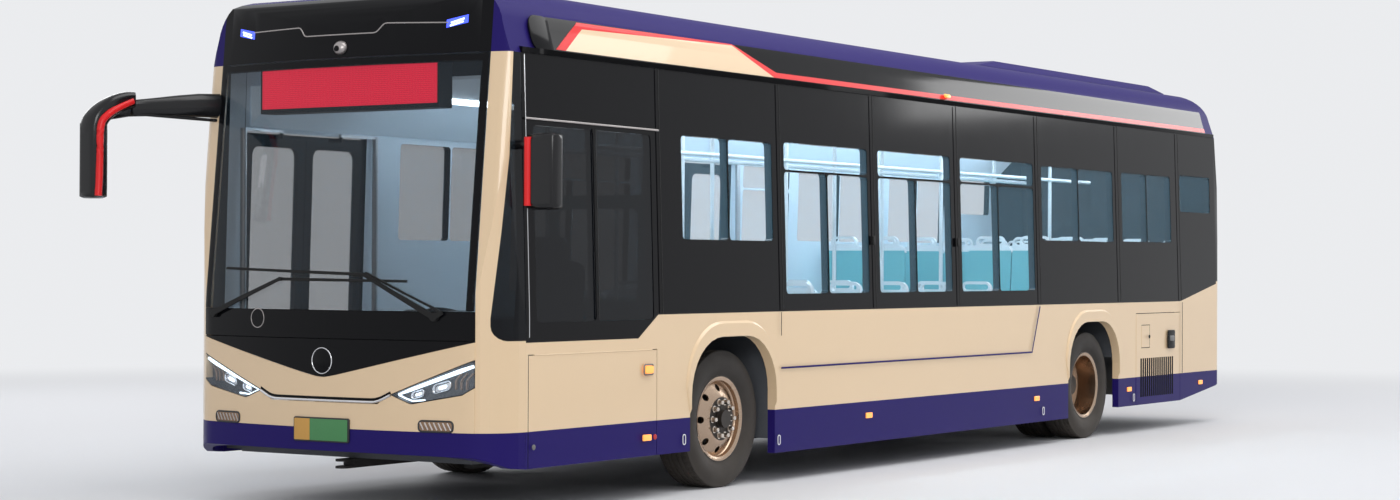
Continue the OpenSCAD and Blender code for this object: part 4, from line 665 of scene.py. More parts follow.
def ribbon(path: Array, profile: Array, place: Place, closed: bool = False) -> Shape:
    """Lay a strip on a surface: a profile of offsets and heights, carried along a path on it.

    Args:
        path: Points in the surface's two coordinates.
        profile: Closed profile: how far to the side of the path, and how high over the surface.
        place: Turns two coordinates and a height over the surface into a point.
        closed: Whether the path closes on itself.

    Returns:
        The strip.
    """
    if closed:
        along = np.roll(path, -1, axis=0) - np.roll(path, 1, axis=0)
    else:
        along = np.gradient(path, axis=0)
    along = along / np.linalg.norm(along, axis=1, keepdims=True)
    side = np.stack([-along[:, 1], along[:, 0]], axis=-1)
    spot = path[:, None, :] + side[:, None, :] * profile[None, :, :1]
    height = np.broadcast_to(profile[None, :, 1], spot.shape[:2])
    return loft(place(spot[..., 0], spot[..., 1], height), (closed, True), not closed)


def strip_profile(width: float, height: float, depth: float = 0.002) -> Array:
    """Draw a low crowned profile: half an ellipse over a base.

    Args:
        width: Width of the strip.
        height: Height of its crown over the surface.
        depth: How far its base is sunk.

    Returns:
        The closed profile.
    """
    angle = np.radians(np.linspace(0, 180, 9))
    arch = np.stack([width / 2 * np.cos(angle), height * np.sin(angle)], axis=-1)
    return np.concatenate([arch, [[-width / 2, -depth], [width / 2, -depth]]])


def tube(path: Array, radius: float | Array, sides: int = 10, flat: float = 1.0) -> Shape:
    """Bend a round bar along a path: circles square to the path, their first axis kept level.

    Args:
        path: Points of the path.
        radius: Radius, or one for each point.
        sides: Sides of the bar.
        flat: Share by which the second axis is flattened.

    Returns:
        The bar.
    """
    along = np.gradient(path, axis=0)
    along /= np.linalg.norm(along, axis=1, keepdims=True)
    level = np.cross(along, [0.0, 0.0, 1.0])
    size = np.linalg.norm(level, axis=1, keepdims=True)
    level = np.where(size > 0.02, level / np.maximum(size, 1e-9), [0.0, 1.0, 0.0])
    second = flat * np.cross(level, along)
    angle = turns(sides)[None, :, None]
    reach = np.broadcast_to(np.asarray(radius, float), len(path))[:, None, None]
    rim = np.cos(angle) * level[:, None, :] + np.sin(angle) * second[:, None, :]
    return loft(path[:, None, :] + reach * rim)


def curve(points: Sequence[Sequence[float]], steps: int = 8) -> Array:
    """Draw a smooth path through points: a Catmull-Rom curve, each span a cubic of its four neighbours.

    Args:
        points: Points of the path, at least two.
        steps: Points in each span.

    Returns:
        The path.
    """
    p = np.asarray(points, float)
    p = np.concatenate([2 * p[:1] - p[1:2], p, 2 * p[-1:] - p[-2:-1]])
    t = np.linspace(0, 1, steps, endpoint=False)[None, :, None]
    a, b, c, d = (p[i:len(p) - 3 + i, None, :] for i in range(4))
    spans = 0.5 * (2 * b + (c - a) * t + (2 * a - 5 * b + 4 * c - d) * t**2 + (3 * b - a - 3 * c + d) * t**3)
    return np.concatenate([spans.reshape(-1, p.shape[1]), p[-2:-1]])


def rounded_path(points: Sequence[Sequence[float]], radius: float, steps: int = 5) -> Array:
    """Draw a path of straight runs whose corners are rounded: at each corner a quadratic curve.

    Args:
        points: Corners of the path.
        radius: Distance from a corner at which its curve starts.
        steps: Points in each curve.

    Returns:
        The path.
    """
    p = np.asarray(points, float)
    back = p[:-2] - p[1:-1]
    ahead = p[2:] - p[1:-1]
    start = p[1:-1] + back / np.linalg.norm(back, axis=1, keepdims=True) * radius
    end = p[1:-1] + ahead / np.linalg.norm(ahead, axis=1, keepdims=True) * radius
    t = np.linspace(0, 1, steps)[None, :, None]
    bends = (1 - t) ** 2 * start[:, None] + 2 * t * (1 - t) * p[1:-1, None] + t**2 * end[:, None]
    return np.concatenate([p[:1], bends.reshape(-1, p.shape[1]), p[-1:]])


def dense(path: Array, step: float = 0.04) -> Array:
    """Add points to a path by its length, so that a strip along it follows a curved surface.

    Args:
        path: Points of the path.
        step: Largest distance between two points.

    Returns:
        The path with its old points and the new ones.
    """
    lengths = np.concatenate([[0], np.cumsum(np.linalg.norm(np.diff(path, axis=0), axis=1))])
    spots = np.union1d(lengths, np.linspace(0, lengths[-1], int(lengths[-1] / step) + 2))
    return np.stack([np.interp(spots, lengths, path[:, k]) for k in range(path.shape[1])], axis=-1)


def join(shapes: Sequence[Shape]) -> Shape:
    """Return many shapes as one."""
    return sum(shapes[1:], shapes[0])


def repeat(shape: Shape, offsets: Array) -> Shape:
    """Copy a shape to many places at once.

    Args:
        shape: The shape.
        offsets: Offset of each copy, of shape (n, 3).

    Returns:
        All copies as one shape.
    """
    count, size = len(offsets), len(shape.points)
    points = (shape.points[None] + offsets[:, None]).reshape(-1, 3)
    shift = (np.arange(count) * size)[:, None, None]
    quads = (shape.quads[None] + shift).reshape(-1, 4)
    caps = [c + i * size for i in range(count) for c in shape.caps]
    return Shape(points, quads, caps)


# Surfaces of the body


@dataclass(frozen=True)
class BodyForm:
    """The outer form of the body, as the frame has it.

    Args:
        belt: Height where the walls start to lean inwards.
        lean: How far they lean in up to the eaves.
        bow: Radius of the nose seen from above.
        corner: Radius of the front corners, and of those beside the windscreen.
        tilt: Backward tilt of the windscreen in degrees.
        brow: Radius of the bend from the windscreen's face to the roof, and its depth behind the nose.
        roof: Height of the roof's edge.
        edge: Radius of the roof's edge, seen from the front.
        cove_lean: How far the cove above the eaves leans in up to that edge.
        cove_turn: Angle at which the roof's edge meets the cove, in degrees.
        tail_band: Height from which the tail is black.
    """

    belt: float = 1.21
    lean: float = 0.05
    bow: float = 5.5
    corner: Spot = (0.32, 0.13)
    tilt: float = 5.5
    brow: Spot = (0.28, 0.4495)
    roof: float = 3.25
    edge: float = 0.29
    cove_lean: float = 0.05
    cove_turn: float = 8.0
    tail_band: float = 1.4

    def side_half(self, z: Array) -> Array:
        """Give the half width by height: upright, leaning, the cove's lean, and the arc of the roof's edge.

        Args:
            z: Heights above the road.

        Returns:
            The half widths.
        """
        centre_y, centre_z = HALF_W - self.lean - self.cove_lean - self.edge, self.roof - self.edge
        turn = math.radians(self.cove_turn)
        arc_y, arc_z = centre_y + self.edge * math.cos(turn), centre_z + self.edge * math.sin(turn)
        straight = np.interp(z, [self.belt, EAVE_Z, arc_z], [HALF_W, HALF_W - self.lean, arc_y])
        arc = centre_y + np.sqrt(np.clip(self.edge**2 - np.clip(z - centre_z, 0, None) ** 2, 0, None))
        return np.where(z > arc_z, arc, straight)

    def plan(self, y: Array, radius: float) -> Array:
        """Give the nose's outline from above: a wide arc, then a corner arc tangent to it.

        Args:
            y: Distances from the centre plane.
            radius: Radius of the corner arc.

        Returns:
            How far the outline lies behind its tip.
        """
        y = np.abs(y)
        centre_y = HALF_W - radius
        centre_x = self.bow - math.sqrt((self.bow - radius) ** 2 - centre_y**2)
        tangent = self.bow * centre_y / (self.bow - radius)
        wide = self.bow - np.sqrt(self.bow**2 - np.minimum(y, tangent) ** 2)
        bend = centre_x - np.sqrt(np.clip(radius**2 - (np.minimum(y, HALF_W) - centre_y) ** 2, 0, None))
        return np.where(y > tangent, bend, wide)

    def front(self, y: Array, z: Array, height: Array) -> Array:
        """Place points on the front: the deepest of the upright nose, the tilted one and the bend above it.

        Args:
            y: Distances from the centre plane.
            z: Heights above the road.
            height: Distances ahead of the surface.

        Returns:
            The points.
        """
        t = math.radians(self.tilt)
        straight = self.plan(y, self.corner[0])
        tilted = self.plan(y, self.corner[1]) / math.cos(t) + (z - self.belt) * math.tan(t)
        rise = np.clip(z - self.roof + self.brow[0], 0, self.brow[0])
        bend = np.where(rise > 0, self.brow[1] - np.sqrt(self.brow[0] ** 2 - rise**2), 0)
        deepest = np.maximum(np.maximum(straight, tilted), bend)
        return np.stack([NOSE_X + deepest - height, y + 0 * height, z + 0 * height], axis=-1)

    def side(self, side: int) -> Place:
        """Give the surface of one side wall, with X and Z as its coordinates.

        Args:
            side: Side of the bus.

        Returns:
            The surface.
        """

        def place(x: Array, z: Array, height: Array) -> Array:
            """Return points on the wall, raised outwards by height."""
            return np.stack([x + 0 * height, side * (self.side_half(z) + height), z + 0 * height], axis=-1)

        return place


FORM = BodyForm()
LEFT_WALL = FORM.side(LEFT)


def on_side(outline: Array, spot: Spot) -> Array:
    """Return an outline moved to a place on a side wall: a distance behind the nose, and a height."""
    return outline + [at(spot[0]), spot[1]]


@dataclass(frozen=True)
class Faces:
    """Faces of a node's copy, as whole arrays, by which an area of it is told.

    Args:
        middle: Middle of each face.
        normal: Its outward normal.
        low: Lowest corner of the solid that it belongs to.
        high: Highest corner of that solid.
    """

    middle: Array
    normal: Array
    low: Array
    high: Array

    @classmethod
    def of(cls, mesh: bpy.types.Mesh) -> "Faces":
        """Read a mesh: its solids are found by passing the lowest label along every edge until none changes.

        Args:
            mesh: The mesh.

        Returns:
            Its faces.
        """
        spots = read(mesh.vertices, "co", 3)
        edges = read(mesh.edges, "vertices", 2, np.int32)
        label = np.arange(len(spots))
        settled = False
        while not settled:
            new = label.copy()
            np.minimum.at(new, edges.ravel(), np.repeat(label[edges].min(axis=1), 2))
            new = new[new]
            settled = np.array_equal(new, label)
            label = new
        low = np.full(spots.shape, np.inf)
        high = np.full(spots.shape, -np.inf)
        np.minimum.at(low, label, spots)
        np.maximum.at(high, label, spots)
        first = read(mesh.polygons, "loop_start", 1, np.int32)
        own = label[read(mesh.loops, "vertex_index", 1, np.int32)[first]]
        return cls(read(mesh.polygons, "center", 3), read(mesh.polygons, "normal", 3), low[own], high[own])

    @property
    def size(self) -> Array:
        """Return the size of each face's solid."""
        return self.high - self.low


def read(rows: bpy.types.bpy_prop_collection, name: str, width: int, kind: type = np.float32) -> Array:
    """Read one property of all elements of a mesh.

    Args:
        rows: The elements.
        name: Name of the property.
        width: How many numbers each element has.
        kind: Kind of number.

    Returns:
        The numbers, flat where width is 1.
    """
    flat = np.empty(len(rows) * width, kind)
    rows.foreach_get(name, flat)
    return flat.reshape(-1, width) if width > 1 else flat


Area = tuple[Paint, Callable[[Faces], Array]]
Plane = tuple[tuple[float, float, float], tuple[float, float, float]]
TAIL_BLACK: Area = (Paint.GLOSS_BLACK, lambda f: f.middle[:, 2] > FORM.tail_band)


def level(z: float) -> Plane:
    """Return the level plane at this height."""
    return (0, 0, z), (0, 0, 1)


def upright(y: float) -> Plane:
    """Return the plane along the bus at this distance from its middle."""
    return (0, y, 0), (0, 1, 0)


def smooth_copy(
    node: str, paint: Paint, areas: Sequence[Area] = (), cuts: Sequence[Plane] = (), bevel: float = 0.0,
    sharp: float = 28.0,
) -> bpy.types.Object:
    """Stand a smooth copy of a node in its place: doubles merged, flat faces joined, edges rounded.

    Args:
        node: Name of the node.
        paint: Finish of the copy.
        areas: Finishes of parts of it, each with the test that its faces pass; a later one wins.
        cuts: Planes along which its faces are cut, so that two finishes meet in a straight line.
        bevel: Radius of its edges, or 0.
        sharp: Angle in degrees from which an edge stays sharp.

    Returns:
        The copy.
    """
    source = frame["nodes"][node]
    obj = bpy.data.objects.new(f"{node}_skin", source.data.copy())
    bpy.context.scene.collection.objects.link(obj)
    work = bmesh.new()
    work.from_mesh(obj.data)
    bmesh.ops.remove_doubles(work, verts=work.verts, dist=NODE_WELD)
    bmesh.ops.dissolve_limit(work, angle_limit=math.radians(FLAT), verts=work.verts, edges=work.edges)
    for spot, normal in cuts:
        everything = work.verts[:] + work.edges[:] + work.faces[:]
        bmesh.ops.bisect_plane(work, geom=everything, dist=CUT_WELD, plane_co=spot, plane_no=normal)
    work.to_mesh(obj.data)
    work.free()
    obj.data.polygons.foreach_set("use_smooth", np.ones(len(obj.data.polygons), bool))
    obj.data.set_sharp_from_angle(angle=math.radians(sharp))
    if bevel:
        round_edges = obj.modifiers.new("round_edges", "BEVEL")
        round_edges.width = bevel
        round_edges.segments = 2
        round_edges.limit_method = "ANGLE"
        round_edges.angle_limit = math.radians(sharp)
        round_edges.harden_normals = False
    weighted = obj.modifiers.new("weighted", "WEIGHTED_NORMAL")
    weighted.keep_sharp = True
    register(obj, paint, source["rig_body"])
    if areas:
        faces = Faces.of(obj.data)
        index = np.zeros(len(obj.data.polygons), np.int32)
        for number, (finish, test) in enumerate(areas, 1):
            obj.data.materials.append(finish.material())
            index[test(faces)] = number
        obj.data.polygons.foreach_set("material_index", index)
    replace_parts(obj, node)
    return obj


def paint_nodes(paint: Paint, *nodes: str) -> None:
    """Give nodes of the frame a finish.

    Args:
        paint: The finish.
        nodes: Names of the nodes.
    """
    for node in nodes:
        paint.put_on(frame["nodes"][node])
        LOG.info("%s: painted %s", node, paint.name)


# Sub-assemblies


@dataclass
class Skin:
    """Painted panels of the body, with their smooth curves, seams and small trim.

    Places are distances behind the nose and heights above the road, and sizes are width, height and, where
    there are three, the radius of the corners.

    Args:
        edge: Radius of the panels' edges.
        seam: Width of a joint between two panes of the window band.
        joint: Width of a joint between two panels.
        seams: Joints of the left and of the right window band.
        seam_heights: Heights of a band joint's points.
        face_half: Half width of the black face of the dome.
        wells: Distances between which the roof unit has its fan wells.
        well_half: Half width of the strip that holds them.
        accent: Corners of the navy line on the left side.
        accent_width: Its width.
        joints: Upright joints of the cream panels: distance, foot and head.
        mark: Size of a bare outlined mark.
        marks: Places of the marks on the left skirt.
        corner_trim: Points of the bright trim beside the front corner.
        cove: Size of the black panel at the front of the cove.
        cove_place: Place of its middle.
        cove_end: Distance at which it is cut off.
        repeater: Size of the amber lamp on the cove.
        repeater_place: Its place.
        driver_end: Distance at which the driver's window ends.
        rail: Points of the rail over it.
        split: Points of the upright that parts it.
        trim: Width of that rail and upright.
        catch: Size of a window catch.
        catches: Places of the catches.
    """

    edge: float = 0.003
    seam: float = 0.010
    joint: float = 0.004
    seams: tuple[tuple[float, ...], tuple[float, ...]] = (
        (1.894, 3.441, 4.820, 6.220, 7.752, 9.474, 10.939),
        (1.99, 3.441, 5.22, 6.78, 7.752, 9.474, 10.939),
    )
    seam_heights: tuple[float, ...] = (FORM.belt + 0.01, 1.7, 2.3, EAVE_Z - 0.004)
    face_half: float = 1.105
    wells: Spot = (8.1, 10.7)
    well_half: float = 0.6
    accent: tuple[Spot, ...] = ((3.416, 0.809), (7.575, 0.809), (7.731, 1.196))
    accent_width: float = 0.014
    joints: tuple[tuple[float, float, float], ...] = ((3.414, 1.04, 1.205), (10.964, 0.52, 1.2))
    mark: tuple[float, float, float] = (0.032, 0.066, 0.014)
    marks: tuple[Spot, ...] = ((2.156, 0.372), (3.388, 0.300), (7.807, 0.298), (9.78, 0.330))
    corner_trim: tuple[Spot, ...] = ((0.425, 1.09), (0.425, 1.25), (0.425, 2.0), (0.425, EAVE_Z - 0.01))
    cove: tuple[float, float, float] = (0.24, 0.235, 0.085)
    cove_place: Spot = (0.655, 2.962)
    cove_end: float = 0.748
    repeater: tuple[float, float, float] = (0.085, 0.03, 0.012)
    repeater_place: Spot = (6.106, 2.905)
    driver_end: float = 1.9
    rail: tuple[Spot, ...] = ((0.43, 2.430), (1.0, 2.428), (1.888, 2.424))
    split: tuple[Spot, ...] = ((1.164, 1.19), (1.164, 1.8), (1.164, 2.40))
    trim: float = 0.012
    catch: tuple[float, float, float] = (0.035, 0.07, 0.012)
    catches: tuple[Spot, ...] = ((4.79, 1.73), (6.2, 1.73))

    def dress(self) -> None:
        """Paint the flat panels as they are, and stand smooth copies in for the curved ones."""
        paint_nodes(Paint.CREAM, "stripe_panels")
        paint_nodes(Paint.NAVY, "skirts")
        paint_nodes(Paint.RED_LINE, "roof_stripes")
        for side, name in SIDE_NAMES:
            # Inner faces take the wall lining, whose faint glow is painted light
            inside = (Paint.WALL, lambda f, side=side: side * f.normal[:, 1] < -0.5)
            smooth_copy(f"{name}_side", Paint.CREAM, [inside])
            smooth_copy(f"{name}_window_band", Paint.GLOSS_BLACK, [inside])
        driver = (Paint.DARK_PANE, lambda f: (f.high[:, 0] < at(self.driver_end)) & (f.middle[:, 1] < 0))
        smooth_copy("side_windows", Paint.PANE, [driver])
        smooth_copy(
            "front_dome", Paint.ROOF, [(Paint.GLOSS_BLACK, self.is_dome_face)],
            [upright(self.face_half), upright(-self.face_half)],
        )
        smooth_copy("roof", Paint.ROOF)
        smooth_copy("roof_coves", Paint.GLOSS_BLACK)
        hatch = (Paint.HATCH, lambda f: f.size[:, 0] < 1)
        smooth_copy("roof_pod", Paint.ROOF, [hatch, (Paint.DASH, self.is_well)])
        smooth_copy("rear_cap_panel", Paint.ROOF)
        smooth_copy("front_corners", Paint.CREAM)
        smooth_copy("corner_windows", Paint.DARK_PANE)
        smooth_copy("bumpers", Paint.NAVY, bevel=self.edge)
        smooth_copy("rear_wall", Paint.CREAM, [TAIL_BLACK], [level(FORM.tail_band)])
        smooth_copy("rear_window", Paint.DARK_PANE)

    def is_dome_face(self, f: Faces) -> Array:
        """Return which faces of the dome look ahead between its corners."""
        return (np.abs(f.middle[:, 1]) < self.face_half) & (f.normal[:, 0] < -0.4)

    def is_well(self, f: Faces) -> Array:
        """Tell the floors of the roof unit's fan wells.

        Args:
            f: Faces of the roof unit and the hatches.

        Returns:
            Which faces are such floors.
        """
        x, y, z = f.middle.T
        start, end = self.wells
        in_strip = (np.abs(y) < self.well_half) & (x > at(start)) & (x < at(end))
        return (f.size[:, 0] > 1) & (z < f.high[:, 2] - 0.03) & (f.normal[:, 2] > 0.9) & in_strip

    def build(self) -> None:
        """Lay the joints of the bands and panels, the navy line, the marks and the window trim."""
        for (side, name), places in zip(SIDE_NAMES, self.seams):
            wall = FORM.side(side)
            strips = [self.line(side, [(d, z) for z in self.seam_heights], self.seam) for d in places]
            join(strips).piece(f"{name}_band_seams", Paint.RUBBER)
            seams = [self.line(side, [(d, low), (d, high)], self.joint) for d, low, high in self.joints]
            join(seams).piece(f"{name}_panel_joints", Paint.RUBBER)
            self.line(side, self.corner_trim, 0.005).piece(f"{name}_corner_trim", Paint.CHROME)
            cove = on_side(rounded(*self.cove, 7), self.cove_place)
            cove[:, 0] = np.minimum(cove[:, 0], at(self.cove_end))
            plate(cove, wall, -0.004, 0.0025, 0.001).piece(f"{name}_cove_front", Paint.GLOSS_BLACK)
            lamp = plate(on_side(rounded(*self.repeater), self.repeater_place), wall, 0.0, 0.018, 0.006)
            lamp.piece(f"{name}_roof_repeater", Paint.AMBER)
        self.line(LEFT, self.accent, self.accent_width).piece("accent_line", Paint.NAVY)
        mark, profile = rounded(*self.mark), strip_profile(0.007, 0.002)
        rings = [ribbon(on_side(mark, spot), profile, LEFT_WALL, True) for spot in self.marks]
        join(rings).piece("skirt_marks", Paint.MARK)
        self.line(LEFT, self.rail, self.trim).piece("driver_window_rail", Paint.SATIN)
        self.line(LEFT, self.split, self.trim).piece("driver_window_split", Paint.RUBBER)
        catches = [plate(on_side(rounded(*self.catch), spot), LEFT_WALL, 0.0, 0.012) for spot in self.catches]
        join(catches).piece("window_catches", Paint.RUBBER)

    @staticmethod
    def line(side: int, path: Sequence[Spot], width: float) -> Shape:
        """Lay a low strip along a path on one side wall.

        Args:
            side: Side of the bus.
            path: Distances behind the nose and heights of its points.
            width: Its width.

        Returns:
            The strip.
        """
        points = dense(on_side(np.asarray(path, float), (0, 0)), 0.1)
        return ribbon(points, strip_profile(width, 0.002), FORM.side(side))


@dataclass
class FrontFace:
    """Everything between the two front corner panels: panes, masks, emblem ring, plate and dome trim.

    Outlines by Y are pairs: distances from the middle, and the height at each.

    Args:
        half: Half width of the face.
        screen_low: Height of the windscreen's foot.
        vee: Height of the black panel's point, and of its outer ends.
        vee_soft: How far the point is rounded, and how much of that its height keeps.
        skin: Thickness of the panels.
        gap: Half the gap between two panels.
        columns: Columns of the grids.
        lamp_top: Upper edge of a headlamp, by Y.
        lamp_low: Its lower edge, by Y.
        moulding: Bright moulding's upper edge between the lamps, by Y.
        moulding_drop: Depth of the moulding's middle.
        moulding_line: Points of the moulding's own middle line.
        ring: Place of the emblem ring's middle, its radius and that of its disc.
        faint: Place of the faint ring's middle, and its radius.
        plate: Width and height of the number plate.
        plate_place: Place of its middle.
        plate_gold: Width of its gold part, and the place of that part's middle.
        plate_green: The same of its green part.
        dome_line: Corners of the bright line on the dome.
        camera: Height of the dome camera's middle, its half width and half height.
        print_width: Width of the black print round the windscreen.
    """

    half: float = 1.105
    screen_low: float = 1.25
    vee: Spot = (0.826, 1.07)
    vee_soft: Spot = (0.055, 0.02)
    skin: float = 0.02
    gap: float = 0.003
    columns: int = 90
    lamp_top: tuple[tuple[float, ...], tuple[float, ...]] = ((0.53, 1.105), (0.735, 0.955))
    lamp_low: tuple[tuple[float, ...], tuple[float, ...]] = (
        (0.53, 0.675, 1.03, 1.105), (0.735, 0.682, 0.745, 0.79),
    )
    moulding: tuple[Spot, Spot] = ((0.432, 0.53), (0.694, 0.735))
    moulding_drop: float = 0.016
    moulding_line: tuple[Spot, ...] = ((-0.532, 0.733), (-0.432, 0.686), (0.432, 0.686), (0.532, 0.733))
    ring: tuple[float, float, float, float] = (0.0, 0.932, 0.080, 0.076)
    faint: tuple[float, float, float] = (0.568, 1.189, 0.060)
    plate: Spot = (0.44, 0.14)
    plate_place: Spot = (0.0, 0.503)
    plate_gold: Spot = (0.13, 0.152)
    plate_green: Spot = (0.302, -0.065)
    dome_line: tuple[Spot, ...] = (
        (-0.805, 3.018), (-0.336, 3.034), (-0.275, 2.976), (0.316, 2.978), (0.357, 3.037), (0.80, 3.030),
    )
    camera: tuple[float, float, float] = (2.893, 0.052, 0.046)
    print_width: float = 0.055

    def vee_line(self, y: Array) -> Array:
        """Return the black panel's lower edge: straight sides that meet in a round point."""
        rise = (self.vee[1] - self.vee[0]) / self.half
        return self.vee[0] + rise * (np.sqrt(y**2 + self.vee_soft[0] ** 2) - self.vee_soft[1])

    def upper_line(self, y: Array) -> Array:
        """Return the upper edge of the lamps and of the bright moulding between them."""
        y = np.abs(y)
        return np.where(y < self.lamp_top[0][0], np.interp(y, *self.moulding), np.interp(y, *self.lamp_top))

    def lower_line(self, y: Array) -> Array:
        """Give the lower edge of the lamps and of the bright moulding between them.

        Args:
            y: Distances from the centre plane.

        Returns:
            The heights.
        """
        y = np.abs(y)
        reach, (foot, end) = self.moulding
        middle = np.interp(y, reach, [foot - self.moulding_drop, end])
        return np.where(y < self.lamp_low[0][0], middle, np.interp(y, *self.lamp_low))

    def patch(
        self, low: Array | float, high: Array | float, y: Array, rows: int = 12, lift: float = 0.0,
        skin: float = 0.0,
    ) -> Shape:
        """Build the panel between two lines on the front: a grid of straight columns between them.

        Args:
            low: Height of the lower line at each column.
            high: Height of the upper line.
            y: Places of the columns.
            rows: Rows of the grid.
            lift: How far it stands out.
            skin: Its thickness, or 0 for that of the panels.

        Returns:
            The panel.
        """
        v = np.linspace(0, 1, rows)[:, None]
        z = (1 - v) * low + v * high + 0 * y
        across = np.broadcast_to(y, z.shape)
        outer = FORM.front(across, z, np.full(z.shape, lift))
        return slab(outer, FORM.front(across, z, np.full(z.shape, lift - (skin or self.skin))))

    def build(self) -> None:
        """Build the panels, panes and moulding, and then the smaller pieces."""
        creases = np.outer(SIDES, self.moulding[0]).ravel()
        y = np.sort(np.concatenate([np.linspace(-self.half, self.half, self.columns), creases]))
        gap, end = self.gap, self.vee[1]
        screen = self.patch(self.screen_low, EAVE_Z, y, 24, 0.001, 0.008)
        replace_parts(screen.piece("windscreen_pane", Paint.SCREEN), "windscreen")
        upper = self.patch(end + gap, self.screen_low - 0.001, y, 6)
        lower = self.patch(np.minimum(self.vee_line(y), end - gap), end - gap, y, 10)
        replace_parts((upper + lower).piece("black_nose_panels", Paint.GLOSS_BLACK), "front_panel")
        top = self.patch(self.upper_line(y) + gap, np.minimum(self.vee_line(y), end) - gap, y)
        foot = self.patch(SKIRT_TOP, self.lower_line(y) - gap, y)
        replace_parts((top + foot).piece("cream_nose_panels", Paint.CREAM), "front_mask")
        self.build_moulding()
        self.build_rings()
        self.build_plate()
        self.build_screen_surround()
        self.build_dome_trim()

    def build_moulding(self) -> None:
        """Build the bright moulding between the lamps, and the dark line above it."""
        path = rounded_path(self.moulding_line, 0.05)
        fine = np.stack([np.linspace(path[0, 0], path[-1, 0], 80)] * 2, axis=-1)
        fine[:, 1] = np.interp(fine[:, 0], path[:, 0], path[:, 1])
        bright = ribbon(fine, strip_profile(0.018, 0.012, 0.01), FORM.front)
        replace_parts(bright.piece("bright_moulding", Paint.CHROME), "front_moulding")
        shadow = ribbon(fine + [0, self.moulding_drop], strip_profile(0.016, 0.002), FORM.front)
        shadow.piece("moulding_shadow", Paint.GLOSS_BLACK)

    def build_rings(self) -> None:
        """Build a bare ring round a bare disc at the black panel's point, and the faint ring above it."""
        y, z, radius, disc = self.ring
        ring = ribbon(circle(radius, 48) + [y, z], strip_profile(0.008, 0.006), FORM.front, True)
        ring.piece("badge_ring", Paint.CHROME)
        plate(circle(disc, 48) + [y, z], FORM.front, -0.002, 0.003).piece("badge_disc", Paint.GLOSS_BLACK)
        y, z, radius = self.faint
        faint = ribbon(circle(radius, 48) + [y, z], strip_profile(0.006, 0.0015), FORM.front, True)
        faint.piece("faint_ring", Paint.SATIN)

    def build_plate(self) -> None:
        """Build the blank number plate, gold on its left third and green on the rest, in a thin frame."""
        (width, height), (y, z) = self.plate, self.plate_place
        frame_edge = inset(rounded(width, height, 0.008) + [y, z], -0.006)
        plate(frame_edge, FORM.front, 0.0, 0.012).piece("plate_frame", Paint.DASH)
        parts = ((self.plate_gold, Paint.PLATE_GOLD), (self.plate_green, Paint.PLATE_GREEN))
        for (part, across), paint in parts:
            outline = rounded(part, height - 0.006, 0.006) + [y + across, z]
            plate(outline, FORM.front, 0.004, 0.016, 0.002).piece(paint.name.lower(), paint)

    def build_dome_trim(self) -> None:
        """Build the thin bright line on the dome, which steps down in its middle, and the camera below it."""
        path = dense(rounded_path(self.dome_line, 0.02, 3))
        ribbon(path, strip_profile(0.009, 0.004), FORM.front).piece("dome_line", Paint.SATIN)
        middle, wide, tall = self.camera
        tip = np.radians(np.linspace(0, 80, 8))[:, None]
        y = wide * np.cos(tip) * np.cos(turns(28))
        z = middle + tall * np.cos(tip) * np.sin(turns(28))
        dome = loft(FORM.front(y, z, -0.004 + 0.045 * np.sin(tip) + 0 * y))
        dome.piece("dome_camera", Paint.SATIN, sharp=60)
        lens = circle(0.018, 28) + [0, middle - 0.007]
        plate(lens, FORM.front, 0.03, 0.046).piece("dome_camera_lens", Paint.GLOSS_BLACK)

    def build_screen_surround(self) -> None:
        """Build the black print round the windscreen's edges."""
        profile = strip_profile(self.print_width, 0.0015, 0.0005)
        z = np.linspace(self.screen_low, EAVE_Z - 0.002, 14)
        y = np.linspace(-self.half + 0.01, self.half - 0.01, 40)
        paths = [np.stack([np.full(len(z), s * (self.half - 0.03)), z], axis=-1) for s in SIDES]
        paths.append(np.stack([y, np.full(len(y), EAVE_Z - 0.03)], axis=-1))
        join([ribbon(path, profile, FORM.front) for path in paths]).piece("screen_print", Paint.GLOSS_BLACK)


